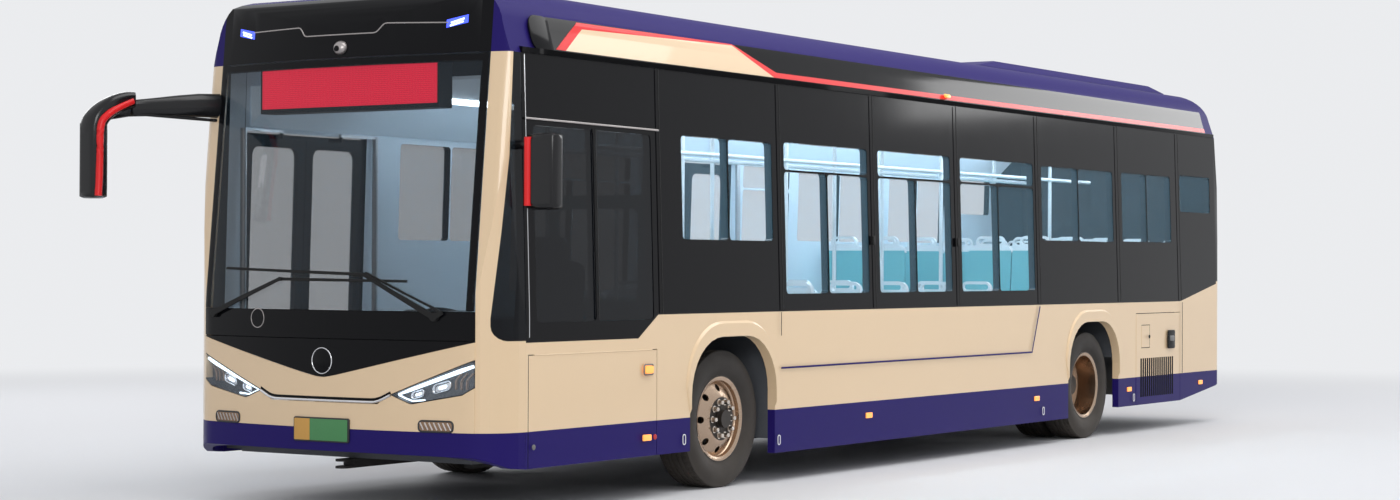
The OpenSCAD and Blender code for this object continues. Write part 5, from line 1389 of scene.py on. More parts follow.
@dataclass
class Headlamps:
    """Headlamps: a dark bowl, a bright bar with a hooked end, lenses, fins and a clear cover.

    Args:
        face: The front that they sit in.
        depth: Depth of the bowl.
        lenses: Middle and size of each lens, in Y and Z.
        rise: How much a lens rises outwards, for each metre.
        core: Width and height of a lens's bright core as shares of its own.
        bar_reach: Ends of the bright bar in Y.
        bar_drop: How far it lies below the lamp's upper edge at both ends.
        bar_radius: Its radius by Y.
        leg: Points of the bar's thin leg, in Y and Z.
        leg_radius: Radius of the leg.
        fins: Foot of each slanted fin, in Y.
        fin_reach: Heights of a fin's ends.
        fin_bend: Height from which a fin leans outwards, and by how much.
    """

    face: FrontFace
    depth: float = 0.065
    lenses: tuple[tuple[float, float, float, float], ...] = (
        (0.70, 0.741, 0.085, 0.042), (0.868, 0.787, 0.120, 0.056),
    )
    rise: float = 0.28
    core: Spot = (0.45, 0.4)
    bar_reach: Spot = (0.572, 1.088)
    bar_drop: Spot = (0.014, 0.030)
    bar_radius: tuple[tuple[float, ...], tuple[float, ...]] = (
        (0.572, 0.66, 1.0, 1.088), (0.006, 0.011, 0.014, 0.010),
    )
    leg: tuple[Spot, ...] = ((0.575, 0.733), (0.63, 0.712), (0.672, 0.700), (0.76, 0.707))
    leg_radius: float = 0.0055
    fins: tuple[float, ...] = (0.975, 1.012, 1.049)
    fin_reach: Spot = (0.775, 0.875)
    fin_bend: Spot = (0.83, 0.9)

    def build(self) -> None:
        """Build both lamps as mirror images."""
        y = np.linspace(self.face.lamp_top[0][0] + 0.006, self.face.half - 0.003, 40)
        low = np.interp(y, *self.face.lamp_low) + self.face.gap
        high = np.interp(y, *self.face.lamp_top) - self.face.gap
        back = self.face.patch(low, high, y, 8, -self.depth, 0.015)
        bowl = back + self.wall(y, low) + self.wall(y, high)
        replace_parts(bowl.paired().piece("headlamp_bowls", Paint.LAMP_BOWL), "headlamps")
        cover = self.face.patch(low, high, y, 8, 0.0, 0.004)
        cover.paired().piece("headlamp_covers", Paint.LENS)
        self.bar().paired().piece("headlamp_bars", Paint.LAMP_WHITE)
        rim = strip_profile(0.010, 0.012, 0.004) + [0, -0.045]
        rings = join([ribbon(self.outline(*lens), rim, FORM.front, True) for lens in self.lenses])
        rings.paired().piece("headlamp_rings", Paint.CHROME)
        lenses = [inset(self.outline(*lens), 0.006) for lens in self.lenses]
        mirrors = join([plate(lens, FORM.front, -0.060, -0.048, 0.006) for lens in lenses])
        mirrors.paired().piece("headlamp_lenses", Paint.MIRROR_GLASS)
        middles = [self.outline(y, z, w * self.core[0], h * self.core[1]) for y, z, w, h in self.lenses]
        cores = join([plate(middle, FORM.front, -0.050, -0.040, 0.004) for middle in middles])
        cores.paired().piece("headlamp_cores", Paint.LAMP_WHITE)
        join([self.fin(foot) for foot in self.fins]).paired().piece("headlamp_fins", Paint.LAMP_FOG)

    def wall(self, y: Array, z: Array) -> Shape:
        """Return one wall of the bowl, from the surface back to its floor."""
        profile = np.array([[-0.002, -0.002], [0.002, -0.002], [0.002, -self.depth], [-0.002, -self.depth]])
        return ribbon(np.stack([y, z], axis=-1), profile, FORM.front)

    def bar(self) -> Shape:
        """Build the bright bar: a round bar below the upper edge, and a thin leg along the lower one.

        Returns:
            The bar.
        """
        steps = 30
        y = np.linspace(*self.bar_reach, steps)
        z = np.interp(y, *self.face.lamp_top) - np.linspace(*self.bar_drop, steps)
        band = tube(FORM.front(y, z, np.full(steps, -0.024)), np.interp(y, *self.bar_radius), 12)
        leg = np.array(self.leg)
        return band + tube(FORM.front(leg[:, 0], leg[:, 1], np.full(len(leg), -0.026)), self.leg_radius, 8)

    def outline(self, y: float, z: float, width: float, height: float) -> Array:
        """Return the outline of a lens: a rounded rectangle that rises with the lamp."""
        points = rounded(width, height, height * 0.42)
        return points + np.stack([np.full(len(points), y), z + points[:, 0] * self.rise], axis=-1)

    def fin(self, foot: float) -> Shape:
        """Build one reflector fin near the outer end, which leans outwards above its bend.

        Args:
            foot: Place of its foot, in Y.

        Returns:
            The fin.
        """
        bend, lean = self.fin_bend
        z = np.linspace(*self.fin_reach, 9)
        spots = np.stack([foot - 0.02 + np.clip(z - bend, 0, None) * lean, z], axis=-1)
        return ribbon(spots, strip_profile(0.010, 0.014, 0.004) + [0, -0.055], FORM.front)


@dataclass
class Lamps:
    """The other lamps: fog lamps, roof lamps, markers, repeaters and the tail lamps.

    Places are distances behind the nose and heights above the road.

    Args:
        fog: Middle of a fog lamp, in Y and Z, and its width and height.
        fog_ribs: Places of its ribs as shares of its width.
        dome_bars: Foot, head and Y of each bar in a roof lamp.
        reversing: Height below which a tail lamp is white.
        turning: Heights between which it is amber.
        marker: Place of the marker on the service flap.
        reflector: Place of the red reflector beside it.
        repeater: Place of the repeater on that flap.
    """

    fog: tuple[float, float, float, float] = (0.8525, 0.5505, 0.235, 0.065)
    fog_ribs: tuple[float, ...] = tuple(np.linspace(-0.40, 0.40, 7))
    dome_bars: tuple[tuple[float, float, float], ...] = ((3.010, 3.018, 0.862), (3.028, 3.036, 0.868))
    reversing: float = 0.86
    turning: Spot = (1.03, 1.2)
    marker: Spot = (1.703, 0.41)
    reflector: Spot = (1.80, 0.41)
    repeater: Spot = (1.726, 0.853)

    def build(self) -> None:
        """Build the lamps' pieces, and stand smooth copies in for those of the frame."""
        smooth_copy("dome_lamps", Paint.LAMP_BLUE)
        runs = [np.array([[y - 0.045, low - 0.012], [y + 0.045, high + 0.004]])
                for low, high, y in self.dome_bars]
        bars = join([ribbon(run, strip_profile(0.011, 0.004), FORM.front) for run in runs])
        bars.paired().piece("dome_lamp_bars", Paint.LAMP_WHITE)
        smooth_copy("fog_lamps", Paint.LAMP_FOG)
        low, high = self.turning
        smooth_copy(
            "rear_lamps", Paint.RED_LENS,
            [
                (Paint.MARK, lambda f: f.middle[:, 2] < self.reversing),
                (Paint.AMBER, lambda f: (f.middle[:, 2] > low) & (f.middle[:, 2] < high)),
            ],
            [level(self.reversing), level(low), level(high)], 0.002,
        )
        smooth_copy("marker_lamps", Paint.AMBER, bevel=0.003)
        self.build_fog_lamps()
        self.build_flap_lamps()

    def build_flap_lamps(self) -> None:
        """Build the lamps and the reflector on the service flap."""
        rim = on_side(rounded(0.105, 0.066, 0.016), self.repeater)
        pieces = (
            ("flap_marker", Paint.AMBER,
             plate(on_side(rounded(0.09, 0.04, 0.008), self.marker), LEFT_WALL, 0.0, 0.012)),
            ("flap_reflector", Paint.RED_LENS,
             plate(on_side(circle(0.018, 20), self.reflector), LEFT_WALL, 0.0, 0.006, 0.002)),
            ("flap_repeater_rim", Paint.CASTING, ribbon(rim, strip_profile(0.010, 0.006), LEFT_WALL, True)),
            ("flap_repeater", Paint.AMBER,
             plate(on_side(rounded(0.09, 0.05, 0.012), self.repeater), LEFT_WALL, 0.0, 0.012)),
        )
        for name, paint, shape in pieces:
            shape.piece(name, paint, "service_flap")

    def build_fog_lamps(self) -> None:
        """Build the fog lamps' rims, lenses and slanted ribs, proud of the nose."""
        y, z, width, height = self.fog
        rims, lenses, ribs = [], [], []
        for s in SIDES:
            outline = rounded(width, height, 0.024) + [s * y, z]
            rims.append(ribbon(outline, strip_profile(0.012, 0.008), FORM.front, True))
            lenses.append(plate(inset(outline, 0.004), FORM.front, -0.002, 0.004, 0.002))
            for share in self.fog_ribs:
                across = s * y + share * width
                run = np.array([[across - 0.012, z - 0.022], [across + 0.012, z + 0.022]])
                ribs.append(ribbon(run, strip_profile(0.010, 0.005) + [0, 0.004], FORM.front))
        join(rims).piece("fog_rims", Paint.DASH)
        join(lenses).piece("fog_lenses", Paint.LAMP_FOG)
        join(ribs).piece("fog_ribs", Paint.SATIN)


@dataclass
class Wheels:
    """Tyres with their tread, rims, hub caps and nuts.

    Args:
        radius: Radius of a tyre.
        rim: Radius of the rim's edge.
        seat: How far the tyre's foot lies outside that edge.
        bead: Depth of the tyre's bead inside the rim, and its half width there and at the rim's edge.
        shoulder: Radius of the shoulder.
        shoulder_half: Half width of the tyre up to the shoulder's centre.
        wall: Half width of the sidewall's foot, its growth up to the shoulder, and its bulge between.
        line: Radius of the raised line on the sidewall, its height and its spread.
        tread: Half width of the ribs' outline.
        rib: Distance between two grooves, and half the width of one.
        groove: Depth of a groove.
        cut: Depth of a cut across the outer ribs, and the Y from which they are cut.
        sides: Sides of a tyre, seen from the side. Every third one has a cut.
        twin: Distance of a rear tyre from the middle of its pair.
        nuts: Nuts of a wheel.
        nut_circle: Radius of the circle that they stand on.
        nut_seats: Places of the nuts' feet along a front axle, and along a rear one.
        hub: Radius within which a wheel is dark.
    """

    radius: float = 0.475
    rim: float = 0.3
    seat: float = 0.0004
    bead: tuple[float, float, float] = (0.0195, 0.085, 0.0966)
    shoulder: float = 0.014
    shoulder_half: float = 0.107
    wall: tuple[float, float, float] = (0.1084, 0.0126, 0.0235)
    line: tuple[float, float, float] = (0.335, 0.0025, 0.004)
    tread: float = 0.105
    rib: Spot = (0.042, 0.0045)
    groove: float = 0.011
    cut: Spot = (0.006, 0.062)
    sides: int = 180
    twin: float = 0.156
    nuts: int = 10
    nut_circle: float = 0.120
    nut_seats: Spot = (0.122, 0.02)
    hub: float = 0.094

    def profile(self) -> Array:
        """Draw half a tyre's outline: a sidewall that bulges as half a sine, a round shoulder and the tread.

        Returns:
            Radius and half width of each point, from the bead to the middle of the tread.
        """
        foot, top = self.rim + self.seat, self.radius - self.shoulder
        inner, inner_half, edge_half = self.bead
        bead = np.array([[self.rim - inner, 0.0], [self.rim - inner, inner_half], [foot, edge_half]])
        t = np.linspace(0, 1, 14)
        wall_r = foot + (top - self.rim) * t
        start, growth, bulge = self.wall
        raised_r, raised, spread = self.line
        wall_y = start + growth * t + bulge * np.sin(math.pi * t)
        wall_y += raised * np.exp(-(((wall_r - raised_r) / spread) ** 2))
        turn = np.radians(np.linspace(15, 90, 5))
        arc = [top + self.shoulder * np.sin(turn), self.shoulder_half + self.shoulder * np.cos(turn)]
        ribs = np.linspace(self.tread, 0, 22)
        pitch, half_groove = self.rib
        sunk = self.groove * (np.abs((ribs % pitch) - pitch / 2) < half_groove)
        parts = [np.stack(pair, axis=-1) for pair in ([wall_r, wall_y], arc, [self.radius - sunk, ribs])]
        return np.concatenate([bead, *parts])

    def tyre(self) -> Shape:
        """Turn a tyre's outline round the axle, about the origin, with cuts across the outer ribs.

        Returns:
            The tyre.
        """
        half = self.profile()
        outline = np.concatenate([half, half[-2:0:-1] * [1, -1]])
        angle = turns(self.sides)[:, None]
        r, y = outline[None, :, 0], outline[None, :, 1]
        depth, start = self.cut
        on_tread = (r > self.radius - 0.002) & (np.abs(y) > start)
        r = r - depth * ((np.arange(self.sides)[:, None] % 3 == 0) & on_tread)
        return loft(np.stack([r * np.cos(angle), y + 0 * r, r * np.sin(angle)], axis=-1), (True, True), False)

    @staticmethod
    def turned(sides: int, radii: Sequence[float], places: Sequence[float]) -> Shape:
        """Build a turned or many-sided piece along +Y: a circle of each radius at its place.

        Args:
            sides: Sides of the piece.
            radii: Radius of each circle.
            places: Place of each circle along Y.

        Returns:
            The piece.
        """
        angle, r, y = turns(sides)[None, :], np.array(radii)[:, None], np.array(places)[:, None]
        return loft(np.stack([r * np.cos(angle), y + 0 * angle, r * np.sin(angle)], axis=-1))

    def set_of_nuts(self, y: float, face: int) -> Shape:
        """Build a wheel's nuts on their circle: six-sided, with a drawn-in tip and a round washer.

        Args:
            y: Place of the seat along the axle.
            face: Side that they point to.

        Returns:
            The nuts.
        """
        nut = self.turned(6, (0.018, 0.018, 0.014), (0.0, 0.034, 0.039))
        washer = self.turned(12, (0.024, 0.024), (0.0, 0.006))
        spots = np.insert(circle(self.nut_circle, self.nuts), 1, 0.0, axis=1)
        nuts = repeat(nut + washer, spots)
        return (nuts if face > 0 else nuts.mirrored()).moved(y=y * face)

    def build(self) -> None:
        """Build the tyres and nuts of the four wheel bodies, and smooth copies of the rims."""
        for side, name in SIDE_NAMES:
            self.build_wheel(side, f"front_{name}", "", (0.0,), self.nut_seats[0])
            self.build_wheel(side, f"rear_{name}", "s", (-self.twin, self.twin), self.nut_seats[1])

    def build_wheel(self, side: int, name: str, plural: str, places: Sequence[float], seat: float) -> None:
        """Build the tyres and nuts of one wheel body, and a smooth copy of its rims with a dark hub.

        Args:
            side: Side of the bus.
            name: Start of its names.
            plural: What its names end in.
            places: Place of each tyre along the axle.
            seat: Distance of the nuts' seat from the middle.
        """
        tyres, body = f"{name}_tyre{plural}", f"{name}_wheel{plural}"
        low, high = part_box(tyres)
        x, y, z = ((low + high) / 2)[:]
        treads = join([self.tyre().moved(x, y + place, z) for place in places])
        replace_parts(treads.piece(f"{name}_tyre_tread{plural}", Paint.TYRE, body), tyres)
        hub = (Paint.HUB, lambda f: np.hypot(f.middle[:, 0] - x, f.middle[:, 2] - z) < self.hub)
        smooth_copy(f"{name}_rim{plural}", Paint.WHEEL, [hub], bevel=0.002)
        self.set_of_nuts(seat, side).moved(x, y, z).piece(f"{name}_nuts", Paint.NUT, body)


@dataclass
class Mirrors:
    """The left mirror beside its window, and the right one that hangs from a long arm ahead of the nose.

    Places along the bus are distances behind the nose.

    Args:
        glasses: Place, middle and size of each mirror glass.
        strip_half: Half width of the red strips.
        left_strip: Distance behind the nose and Y of the left strip, and the heights of its ends.
        right_strip: Points of the right strip, from the arm down the housing.
        shoulder: Ovals of the right mirror's shoulder: centre, half axis across and half axis outwards.
        square: Power of sine and cosine that makes those ovals squarer.
    """

    glasses: tuple[tuple[float, float, float, float, float], ...] = (
        (0.414, -1.445, 2.0975, 0.185, 0.42), (-0.446, 1.48, 2.1915, 0.115, 0.44),
    )
    strip_half: float = 0.024
    left_strip: tuple[float, float, float, float] = (0.3045, -1.362, 2.305, 1.89)
    right_strip: tuple[tuple[float, float, float], ...] = (
        (-0.30, 1.352, 2.575), (-0.40, 1.365, 2.532), (-0.49, 1.378, 2.476), (-0.531, 1.392, 2.41),
        (-0.533, 1.398, 2.258), (-0.537, 1.40, 2.067), (-0.543, 1.40, 1.962),
    )
    shoulder: tuple[tuple[tuple[float, float, float], ...], ...] = (
        ((-0.270, 1.365, 2.585), (0.014, 0.030, 0.0), (0.0, 0.0, 0.050)),
        ((-0.340, 1.380, 2.572), (0.014, 0.036, 0.0), (-0.006, 0.0, 0.058)),
        ((-0.410, 1.402, 2.545), (0.012, 0.046, 0.0), (-0.020, 0.0, 0.060)),
        ((-0.465, 1.435, 2.505), (0.005, 0.062, 0.0), (-0.042, 0.0, 0.052)),
        ((-0.500, 1.466, 2.455), (0.0, 0.076, 0.0), (-0.062, 0.0, 0.030)),
        ((-0.512, 1.480, 2.405), (0.0, 0.081, 0.0), (-0.068, 0.0, 0.006)),
        ((-0.513, 1.480, 2.360), (0.0, 0.081, 0.0), (-0.068, 0.0, 0.0)),
    )
    square: float = 0.7

    def build(self) -> None:
        """Dress the housings, and build their glasses, red strips and shoulder."""
        smooth_copy("mirrors", Paint.MIRROR_SKIN, sharp=50)
        panes = [
            plate(rounded(width, height, 0.03), self.facing_tail(at(d) - 0.001, y, z), 0.0, 0.004)
            for d, y, z, width, height in self.glasses
        ]
        join(panes).piece("mirror_glasses", Paint.MIRROR_GLASS)
        d, y, top, foot = self.left_strip
        z = np.linspace(top, foot, 16)
        left = np.stack([np.full(len(z), d), np.full(len(z), y), z], axis=-1)
        paths = [path + [NOSE_X, 0, 0] for path in (left, curve(self.right_strip, 4))]
        join([tube(path, self.strip_half, 12) for path in paths]).piece("mirror_strips", Paint.RED_LINE)
        self.build_shoulder()

    def build_shoulder(self) -> None:
        """Build the right mirror's shoulder of ovals that turn from the arm's run to the housing's."""
        table = np.array(self.shoulder)
        rows = np.stack([curve(table[:, k], 4) for k in range(3)], axis=1)
        turn = turns(32)[None, :, None]
        across = np.sign(np.cos(turn)) * np.abs(np.cos(turn)) ** self.square
        outwards = np.sign(np.sin(turn)) * np.abs(np.sin(turn)) ** self.square
        rings = rows[:, :1] + across * rows[:, 1:2] + outwards * rows[:, 2:] + [NOSE_X, 0, 0]
        loft(rings).piece("mirror_shoulder", Paint.MIRROR_SKIN, sharp=60)

    @staticmethod
    def facing_tail(x: float, y: float, z: float) -> Place:
        """Give a plane that faces the tail, with Y and Z as its coordinates.

        Args:
            x: Its X.
            y: Y of its origin.
            z: Height of its origin.

        Returns:
            The plane.
        """

        def place(u: Array, v: Array, height: Array) -> Array:
            """Return points on the plane, raised by height."""
            return np.stack([x + height, y + u, z + v], axis=-1)

        return place


@dataclass
class Cabin:
    """What shows through the glass: linings, lights, seats, rails and the driver's place.

    Args:
        loop: Height of a seat's white loop.
        shell: Height of a seat's shell and loop together.
        rail: Depth across the bus under which a piece of the seats is a rail.
        partition: Distance behind the nose of the partition behind the driver.
        partition_rail: Y from which the partition's pieces are its rails.
        partition_foot: Height from which the partition stands.
        driver: Distance behind the nose and height from which the cab is the driver's seat.
        podium: The same for the podium that it stands on, and the podium's top.
        lights: Y and height of the light strips.
        lights_reach: Distances behind the nose of their ends.
        light: Radius of a light strip, and the share by which it is flattened.
        sign: Half width of the lit face, and its foot and head.
    """

    loop: float = 0.155
    shell: float = 0.66
    rail: float = 0.05
    partition: float = 1.87
    partition_rail: float = -0.385
    partition_foot: float = 0.36
    driver: Spot = (0.8, 0.49)
    podium: Spot = (0.49, 0.485)
    lights: Spot = (0.62, 2.685)
    lights_reach: Spot = (1.6, 11.4)
    light: Spot = (0.05, 0.4)
    sign: tuple[float, float, float] = (0.72, 2.53, 2.78)

    def dress(self) -> None:
        """Paint the linings, whose faint glow is painted light, and the seats, cab and sign of the frame."""
        paint_nodes(Paint.FLOORING, "floor")
        # The ceiling lining's faint glow is painted light from the cabin lamps
        paint_nodes(Paint.LINING, "ceiling")
        half, foot, head = self.sign
        smooth_copy(
            "route_sign", Paint.DASH, [(Paint.SIGN, self.is_sign)],
            [upright(half), upright(-half), level(foot), level(head)],
        )
        smooth_copy(
            "seats", Paint.SEAT,
            [
                (Paint.RAIL, lambda f: f.middle[:, 2] > f.high[:, 2] - self.loop),
                (Paint.POST, lambda f: f.middle[:, 2] < f.high[:, 2] - self.shell),
                (Paint.RAIL, lambda f: f.size[:, 1] < self.rail),
            ],
        )
        (seat, seat_foot), (podium, podium_top) = self.driver, self.podium
        smooth_copy(
            "cab", Paint.DASH,
            [
                (Paint.FABRIC, lambda f: (f.middle[:, 0] > at(seat)) & (f.middle[:, 2] > seat_foot)),
                (Paint.FLOORING, lambda f: (f.middle[:, 0] > at(podium)) & (f.middle[:, 2] < podium_top)),
                (Paint.SEAT, self.is_partition),
                (Paint.RAIL, lambda f: self.is_partition(f) & (f.middle[:, 1] > self.partition_rail)),
            ],
        )

    def is_partition(self, f: Faces) -> Array:
        """Return which faces of the cab are the partition's."""
        return (f.middle[:, 0] > at(self.partition)) & (f.middle[:, 2] > self.partition_foot)

    def is_sign(self, f: Faces) -> Array:
        """Tell the lit face of the sign.

        Args:
            f: Faces of the sign.

        Returns:
            Which faces are lit.
        """
        half, foot, head = self.sign
        inside = (np.abs(f.middle[:, 1]) < half) & (f.middle[:, 2] > foot) & (f.middle[:, 2] < head)
        return inside & (f.normal[:, 0] < -0.9)

    def build(self) -> None:
        """Build the two light strips along the ceiling."""
        (across, height), (radius, flat) = self.lights, self.light
        x = np.linspace(at(self.lights_reach[0]), at(self.lights_reach[1]), 12)
        paths = [np.stack([x, np.full(12, side * across), np.full(12, height)], axis=-1) for side in SIDES]
        join([tube(path, radius, 8, flat) for path in paths]).piece("ceiling_lights", Paint.TUBE_LIGHT)


@dataclass
class Doors:
    """Leaves and posts of the two doorways.

    Args:
        pane: Thickness of the box that a leaf's pane lies in.
    """

    pane: float = 0.06

    def dress(self) -> None:
        """Stand smooth copies in for the leaves, with clear panes in black frames, and for the posts."""
        pane = (Paint.PANE, lambda f: f.size[:, 1] < self.pane)
        for door in ("front_door", "middle_door"):
            for end in "ab":
                smooth_copy(f"{door}_leaf_{end}", Paint.LEAF, [pane])
                smooth_copy(f"{door}_post_{end}", Paint.POST)


@dataclass
class Underside:
    """Axles, steering and frame rails.

    Args:
        tail: Distance behind the nose from which a piece of the underframe is a casting.
    """

    tail: float = 9.0

    def dress(self) -> None:
        """Paint the running gear's steel, and its castings lighter."""
        smooth_copy("underframe", Paint.STEEL, [(Paint.CASTING, lambda f: f.low[:, 0] > at(self.tail))])
        for node in ("front_axle", "left_knuckle", "right_knuckle", "tie_rod", "rear_axle"):
            smooth_copy(node, Paint.STEEL)


@dataclass
class Flaps:
    """Flaps, lids and wipers of the body, with the flaps' locks.

    Places are distances behind the nose and heights above the road.

    Args:
        skirt: Height below which a flap is navy.
        skin: Distance from the middle within which a door's faces are its inside.
        lid_skin: Thickness of the motor lid's outside.
        lock: Radius of a round lock.
        flap_lock: Place of the service flap's lock.
        charge_lock: Place of the charging flap's.
        latch: Size of the equipment door's latch, and the radius of its corners.
        latch_place: Its place.
        grip: Size of the latch's grip, and the radius of its corners.
        grip_place: Its place.
    """

    skirt: float = SKIRT_TOP
    skin: float = 1.262
    lid_skin: float = 0.008
    lock: float = 0.017
    flap_lock: Spot = (0.47, 0.42)
    charge_lock: Spot = (10.14, 0.887)
    latch: tuple[float, float, float] = (0.17, 0.175, 0.02)
    latch_place: Spot = (10.682, 0.85)
    grip: tuple[float, float, float] = (0.10, 0.05, 0.012)
    grip_place: Spot = (10.682, 0.86)

    def dress(self) -> None:
        """Stand smooth copies in for the flaps, cream above and navy below."""
        navy = (Paint.NAVY, lambda f: f.middle[:, 2] < self.skirt)
        inside = (Paint.DASH, lambda f: np.abs(f.middle[:, 1]) < self.skin)
        smooth_copy("service_flap", Paint.CREAM, [navy, inside], [level(self.skirt)])
        smooth_copy("equipment_door", Paint.CREAM, [navy, inside], [level(self.skirt)])
        smooth_copy("charge_flap", Paint.CREAM, [inside])
        lid_inside = (Paint.DASH, lambda f: f.middle[:, 0] < f.high[:, 0] - self.lid_skin)
        smooth_copy("motor_lid", Paint.CREAM, [TAIL_BLACK, lid_inside], [level(FORM.tail_band)])
        smooth_copy("wipers", Paint.RUBBER)

    def build(self) -> None:
        """Build the locks and the latch of the flaps."""
        lock = circle(self.lock, 20)
        flap_lock = plate(on_side(lock, self.flap_lock), LEFT_WALL, 0.0, 0.005, 0.002)
        flap_lock.piece("flap_lock", Paint.CASTING, "service_flap")
        latch = plate(on_side(rounded(*self.latch), self.latch_place), LEFT_WALL, -0.002, 0.005, 0.002)
        latch.piece("equipment_latch", Paint.GLOSS_BLACK, "equipment_door")
        grip = plate(on_side(rounded(*self.grip), self.grip_place), LEFT_WALL, 0.0, 0.014, 0.004)
        grip.piece("equipment_latch_grip", Paint.CASTING, "equipment_door")
        charge_lock = plate(on_side(lock, self.charge_lock), LEFT_WALL, 0.0, 0.005, 0.002)
        charge_lock.piece("charge_lock", Paint.RUBBER, "charge_flap")


@dataclass(frozen=True)
class SoftBox:
    """A rectangular lamp.

    Args:
        name: Name of the lamp.
        place: Where it stands.
        aim: Where it points.
        size: Its length and width.
        power: Its power in watts.
    """

    name: str
    place: tuple[float, float, float]
    aim: tuple[float, float, float]
    size: Spot
    power: float

    def build(self) -> None:
        """Hang the lamp, its length level."""
        data = bpy.data.lights.new(self.name, "AREA")
        data.shape = "RECTANGLE"
        data.size, data.size_y = self.size
        data.energy = self.power
        lamp = bpy.data.objects.new(self.name, data)
        bpy.context.scene.collection.objects.link(lamp)
        back = np.array(self.place, float) - np.array(self.aim, float)
        back /= np.linalg.norm(back)
        right = np.cross([0, 0, 1], back)
        right /= np.linalg.norm(right)
        turn = Matrix((right, np.cross(back, right), back)).transposed()
        lamp.matrix_world = Matrix.Translation(self.place) @ turn.to_4x4()


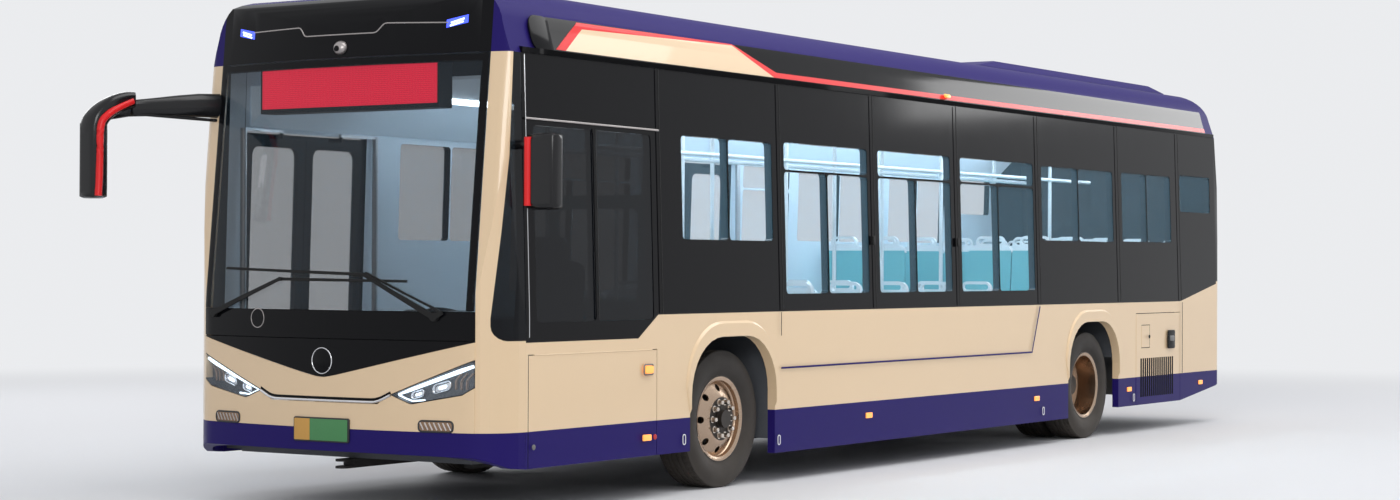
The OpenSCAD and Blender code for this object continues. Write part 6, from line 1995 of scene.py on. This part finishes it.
@dataclass
class Studio:
    """Camera, lights, floor and backdrop.

    Args:
        eye: Place of the camera.
        yaw: Its heading from +X towards +Y, in degrees.
        pitch: Its rise in degrees.
        roll: Its roll in degrees.
        lens: Focal length in millimetres.
        sensor: Width of the sensor in millimetres.
        pale: Colour of the backdrop.
        soft: Colour of the light from all round.
        soft_power: Its strength.
        ground: Colour of the floor.
        ground_rough: Its roughness.
        ground_half: Half its width.
        fade: Distances from the bus between which the floor passes into the backdrop.
        lamps: The lamps.
    """

    eye: tuple[float, float, float] = (-17.430, -10.320, 1.529)
    yaw: float = 32.749
    pitch: float = 0.376
    roll: float = 0.235
    lens: float = 63.70
    sensor: float = 36.0
    pale: tuple[float, float, float] = (0.83, 0.84, 0.86)
    soft: tuple[float, float, float] = (0.9, 0.93, 1.0)
    soft_power: float = 0.55
    ground: tuple[float, float, float] = (0.70, 0.70, 0.71)
    ground_rough: float = 0.6
    ground_half: float = 60.0
    fade: Spot = (9.0, 20.0)
    lamps: tuple[SoftBox, ...] = (
        SoftBox("overhead", (0, -4, 9), (0, 0, 1), (14, 6), 700),
        SoftBox("front_fill", (-16, -9, 6), (-3, 0, 1), (6, 4), 520),
        SoftBox("right_fill", (2, 14, 7), (0, 0, 1), (12, 4), 500),
        SoftBox("rear_fill", (15, -6, 6), (3, 0, 1), (6, 4), 350),
    )

    def build(self) -> None:
        """Set up the whole studio."""
        scene = bpy.context.scene
        scene.view_settings.view_transform = "Standard"
        self.build_camera(scene)
        self.build_floor()
        self.build_world(scene)
        for lamp in self.lamps:
            lamp.build()

    def build_camera(self, scene: bpy.types.Scene) -> None:
        """Stand the camera where the photograph was taken.

        Args:
            scene: The scene.
        """
        yaw, pitch, roll = (math.radians(a) for a in (self.yaw, self.pitch, self.roll))
        ahead = np.array([math.cos(yaw) * math.cos(pitch), math.sin(yaw) * math.cos(pitch), math.sin(pitch)])
        flat = np.cross(ahead, [0, 0, 1])
        flat /= np.linalg.norm(flat)
        steep = np.cross(flat, ahead)
        right = math.cos(roll) * flat + math.sin(roll) * steep
        up = -math.sin(roll) * flat + math.cos(roll) * steep
        data = bpy.data.cameras.new("camera")
        data.lens = self.lens
        data.sensor_width = self.sensor
        camera = bpy.data.objects.new("camera", data)
        scene.collection.objects.link(camera)
        turn = Matrix((right, up, -ahead)).transposed()
        camera.matrix_world = Matrix.Translation(self.eye) @ turn.to_4x4()
        scene.camera = camera

    def build_floor(self) -> None:
        """Lay a large pale floor, which the camera sees pass into the backdrop away from the bus."""
        corners = self.ground_half * np.array([[-1, -1, 0], [1, -1, 0], [1, 1, 0], [-1, 1, 0]])
        mesh = bpy.data.meshes.new("floor_stage")
        mesh.from_pydata(corners.tolist(), [], [(0, 1, 2, 3)])
        floor = bpy.data.objects.new("floor_stage", mesh)
        bpy.context.scene.collection.objects.link(floor)
        material = bpy.data.materials.new("stage_floor")
        material.use_nodes = True
        tree = material.node_tree
        look = {"Base Color": (*self.ground, 1), "Roughness": self.ground_rough}
        ground = wire(tree, tree.nodes["Principled BSDF"], look)
        away = vector_step(tree, "LENGTH", tree.nodes.new("ShaderNodeTexCoord").outputs["Object"])
        fade = tree.nodes.new("ShaderNodeMapRange")
        fade.interpolation_type = "SMOOTHSTEP"
        wire(tree, fade, {"Value": away, "From Min": self.fade[0], "From Max": self.fade[1]})
        share = combine(tree, "MULTIPLY", fade.outputs[0], self.direct_view(tree))
        pale = add_node(tree, "Emission", {"Color": (*self.pale, 1)})
        wire(tree, tree.nodes["Material Output"], {"Surface": mix_shaders(tree, share, ground, pale)})
        mesh.materials.append(material)

    def build_world(self, scene: bpy.types.Scene) -> None:
        """Make the world: soft light on the object, and a pale backdrop to the camera, gloss and glass.

        Args:
            scene: The scene.
        """
        world = bpy.data.worlds.new("studio")
        scene.world = world
        world.use_nodes = True
        tree = world.node_tree
        light = {"Color": (*self.soft, 1), "Strength": self.soft_power}
        soft = wire(tree, tree.nodes["Background"], light)
        backdrop = add_node(tree, "Background", {"Color": (*self.pale, 1)})
        seen = mix_shaders(tree, self.direct_view(tree), soft, backdrop)
        wire(tree, tree.nodes["World Output"], {"Surface": seen})

    @staticmethod
    def direct_view(tree: Tree) -> Socket:
        """Tell rays from the camera, from gloss and through glass from light on the object.

        Args:
            tree: Node tree.

        Returns:
            1 for those rays, and 0 for the others.
        """
        rays = tree.nodes.new("ShaderNodeLightPath").outputs
        seen = combine(tree, "MAXIMUM", rays["Is Camera Ray"], rays["Is Glossy Ray"])
        return combine(tree, "MAXIMUM", seen, rays["Is Transmission Ray"])


def main() -> None:
    """Build the studio and every sub-assembly."""
    logging.basicConfig(level=logging.INFO, format="%(message)s")
    Studio().build()
    skin = Skin()
    skin.dress()
    skin.build()
    face = FrontFace()
    face.build()
    Headlamps(face).build()
    Lamps().build()
    Wheels().build()
    Mirrors().build()
    cabin = Cabin()
    cabin.dress()
    cabin.build()
    Doors().dress()
    Underside().dress()
    flaps = Flaps()
    flaps.dress()
    flaps.build()
    bpy.context.view_layer.update()


if __name__ == "__main__":
    main()
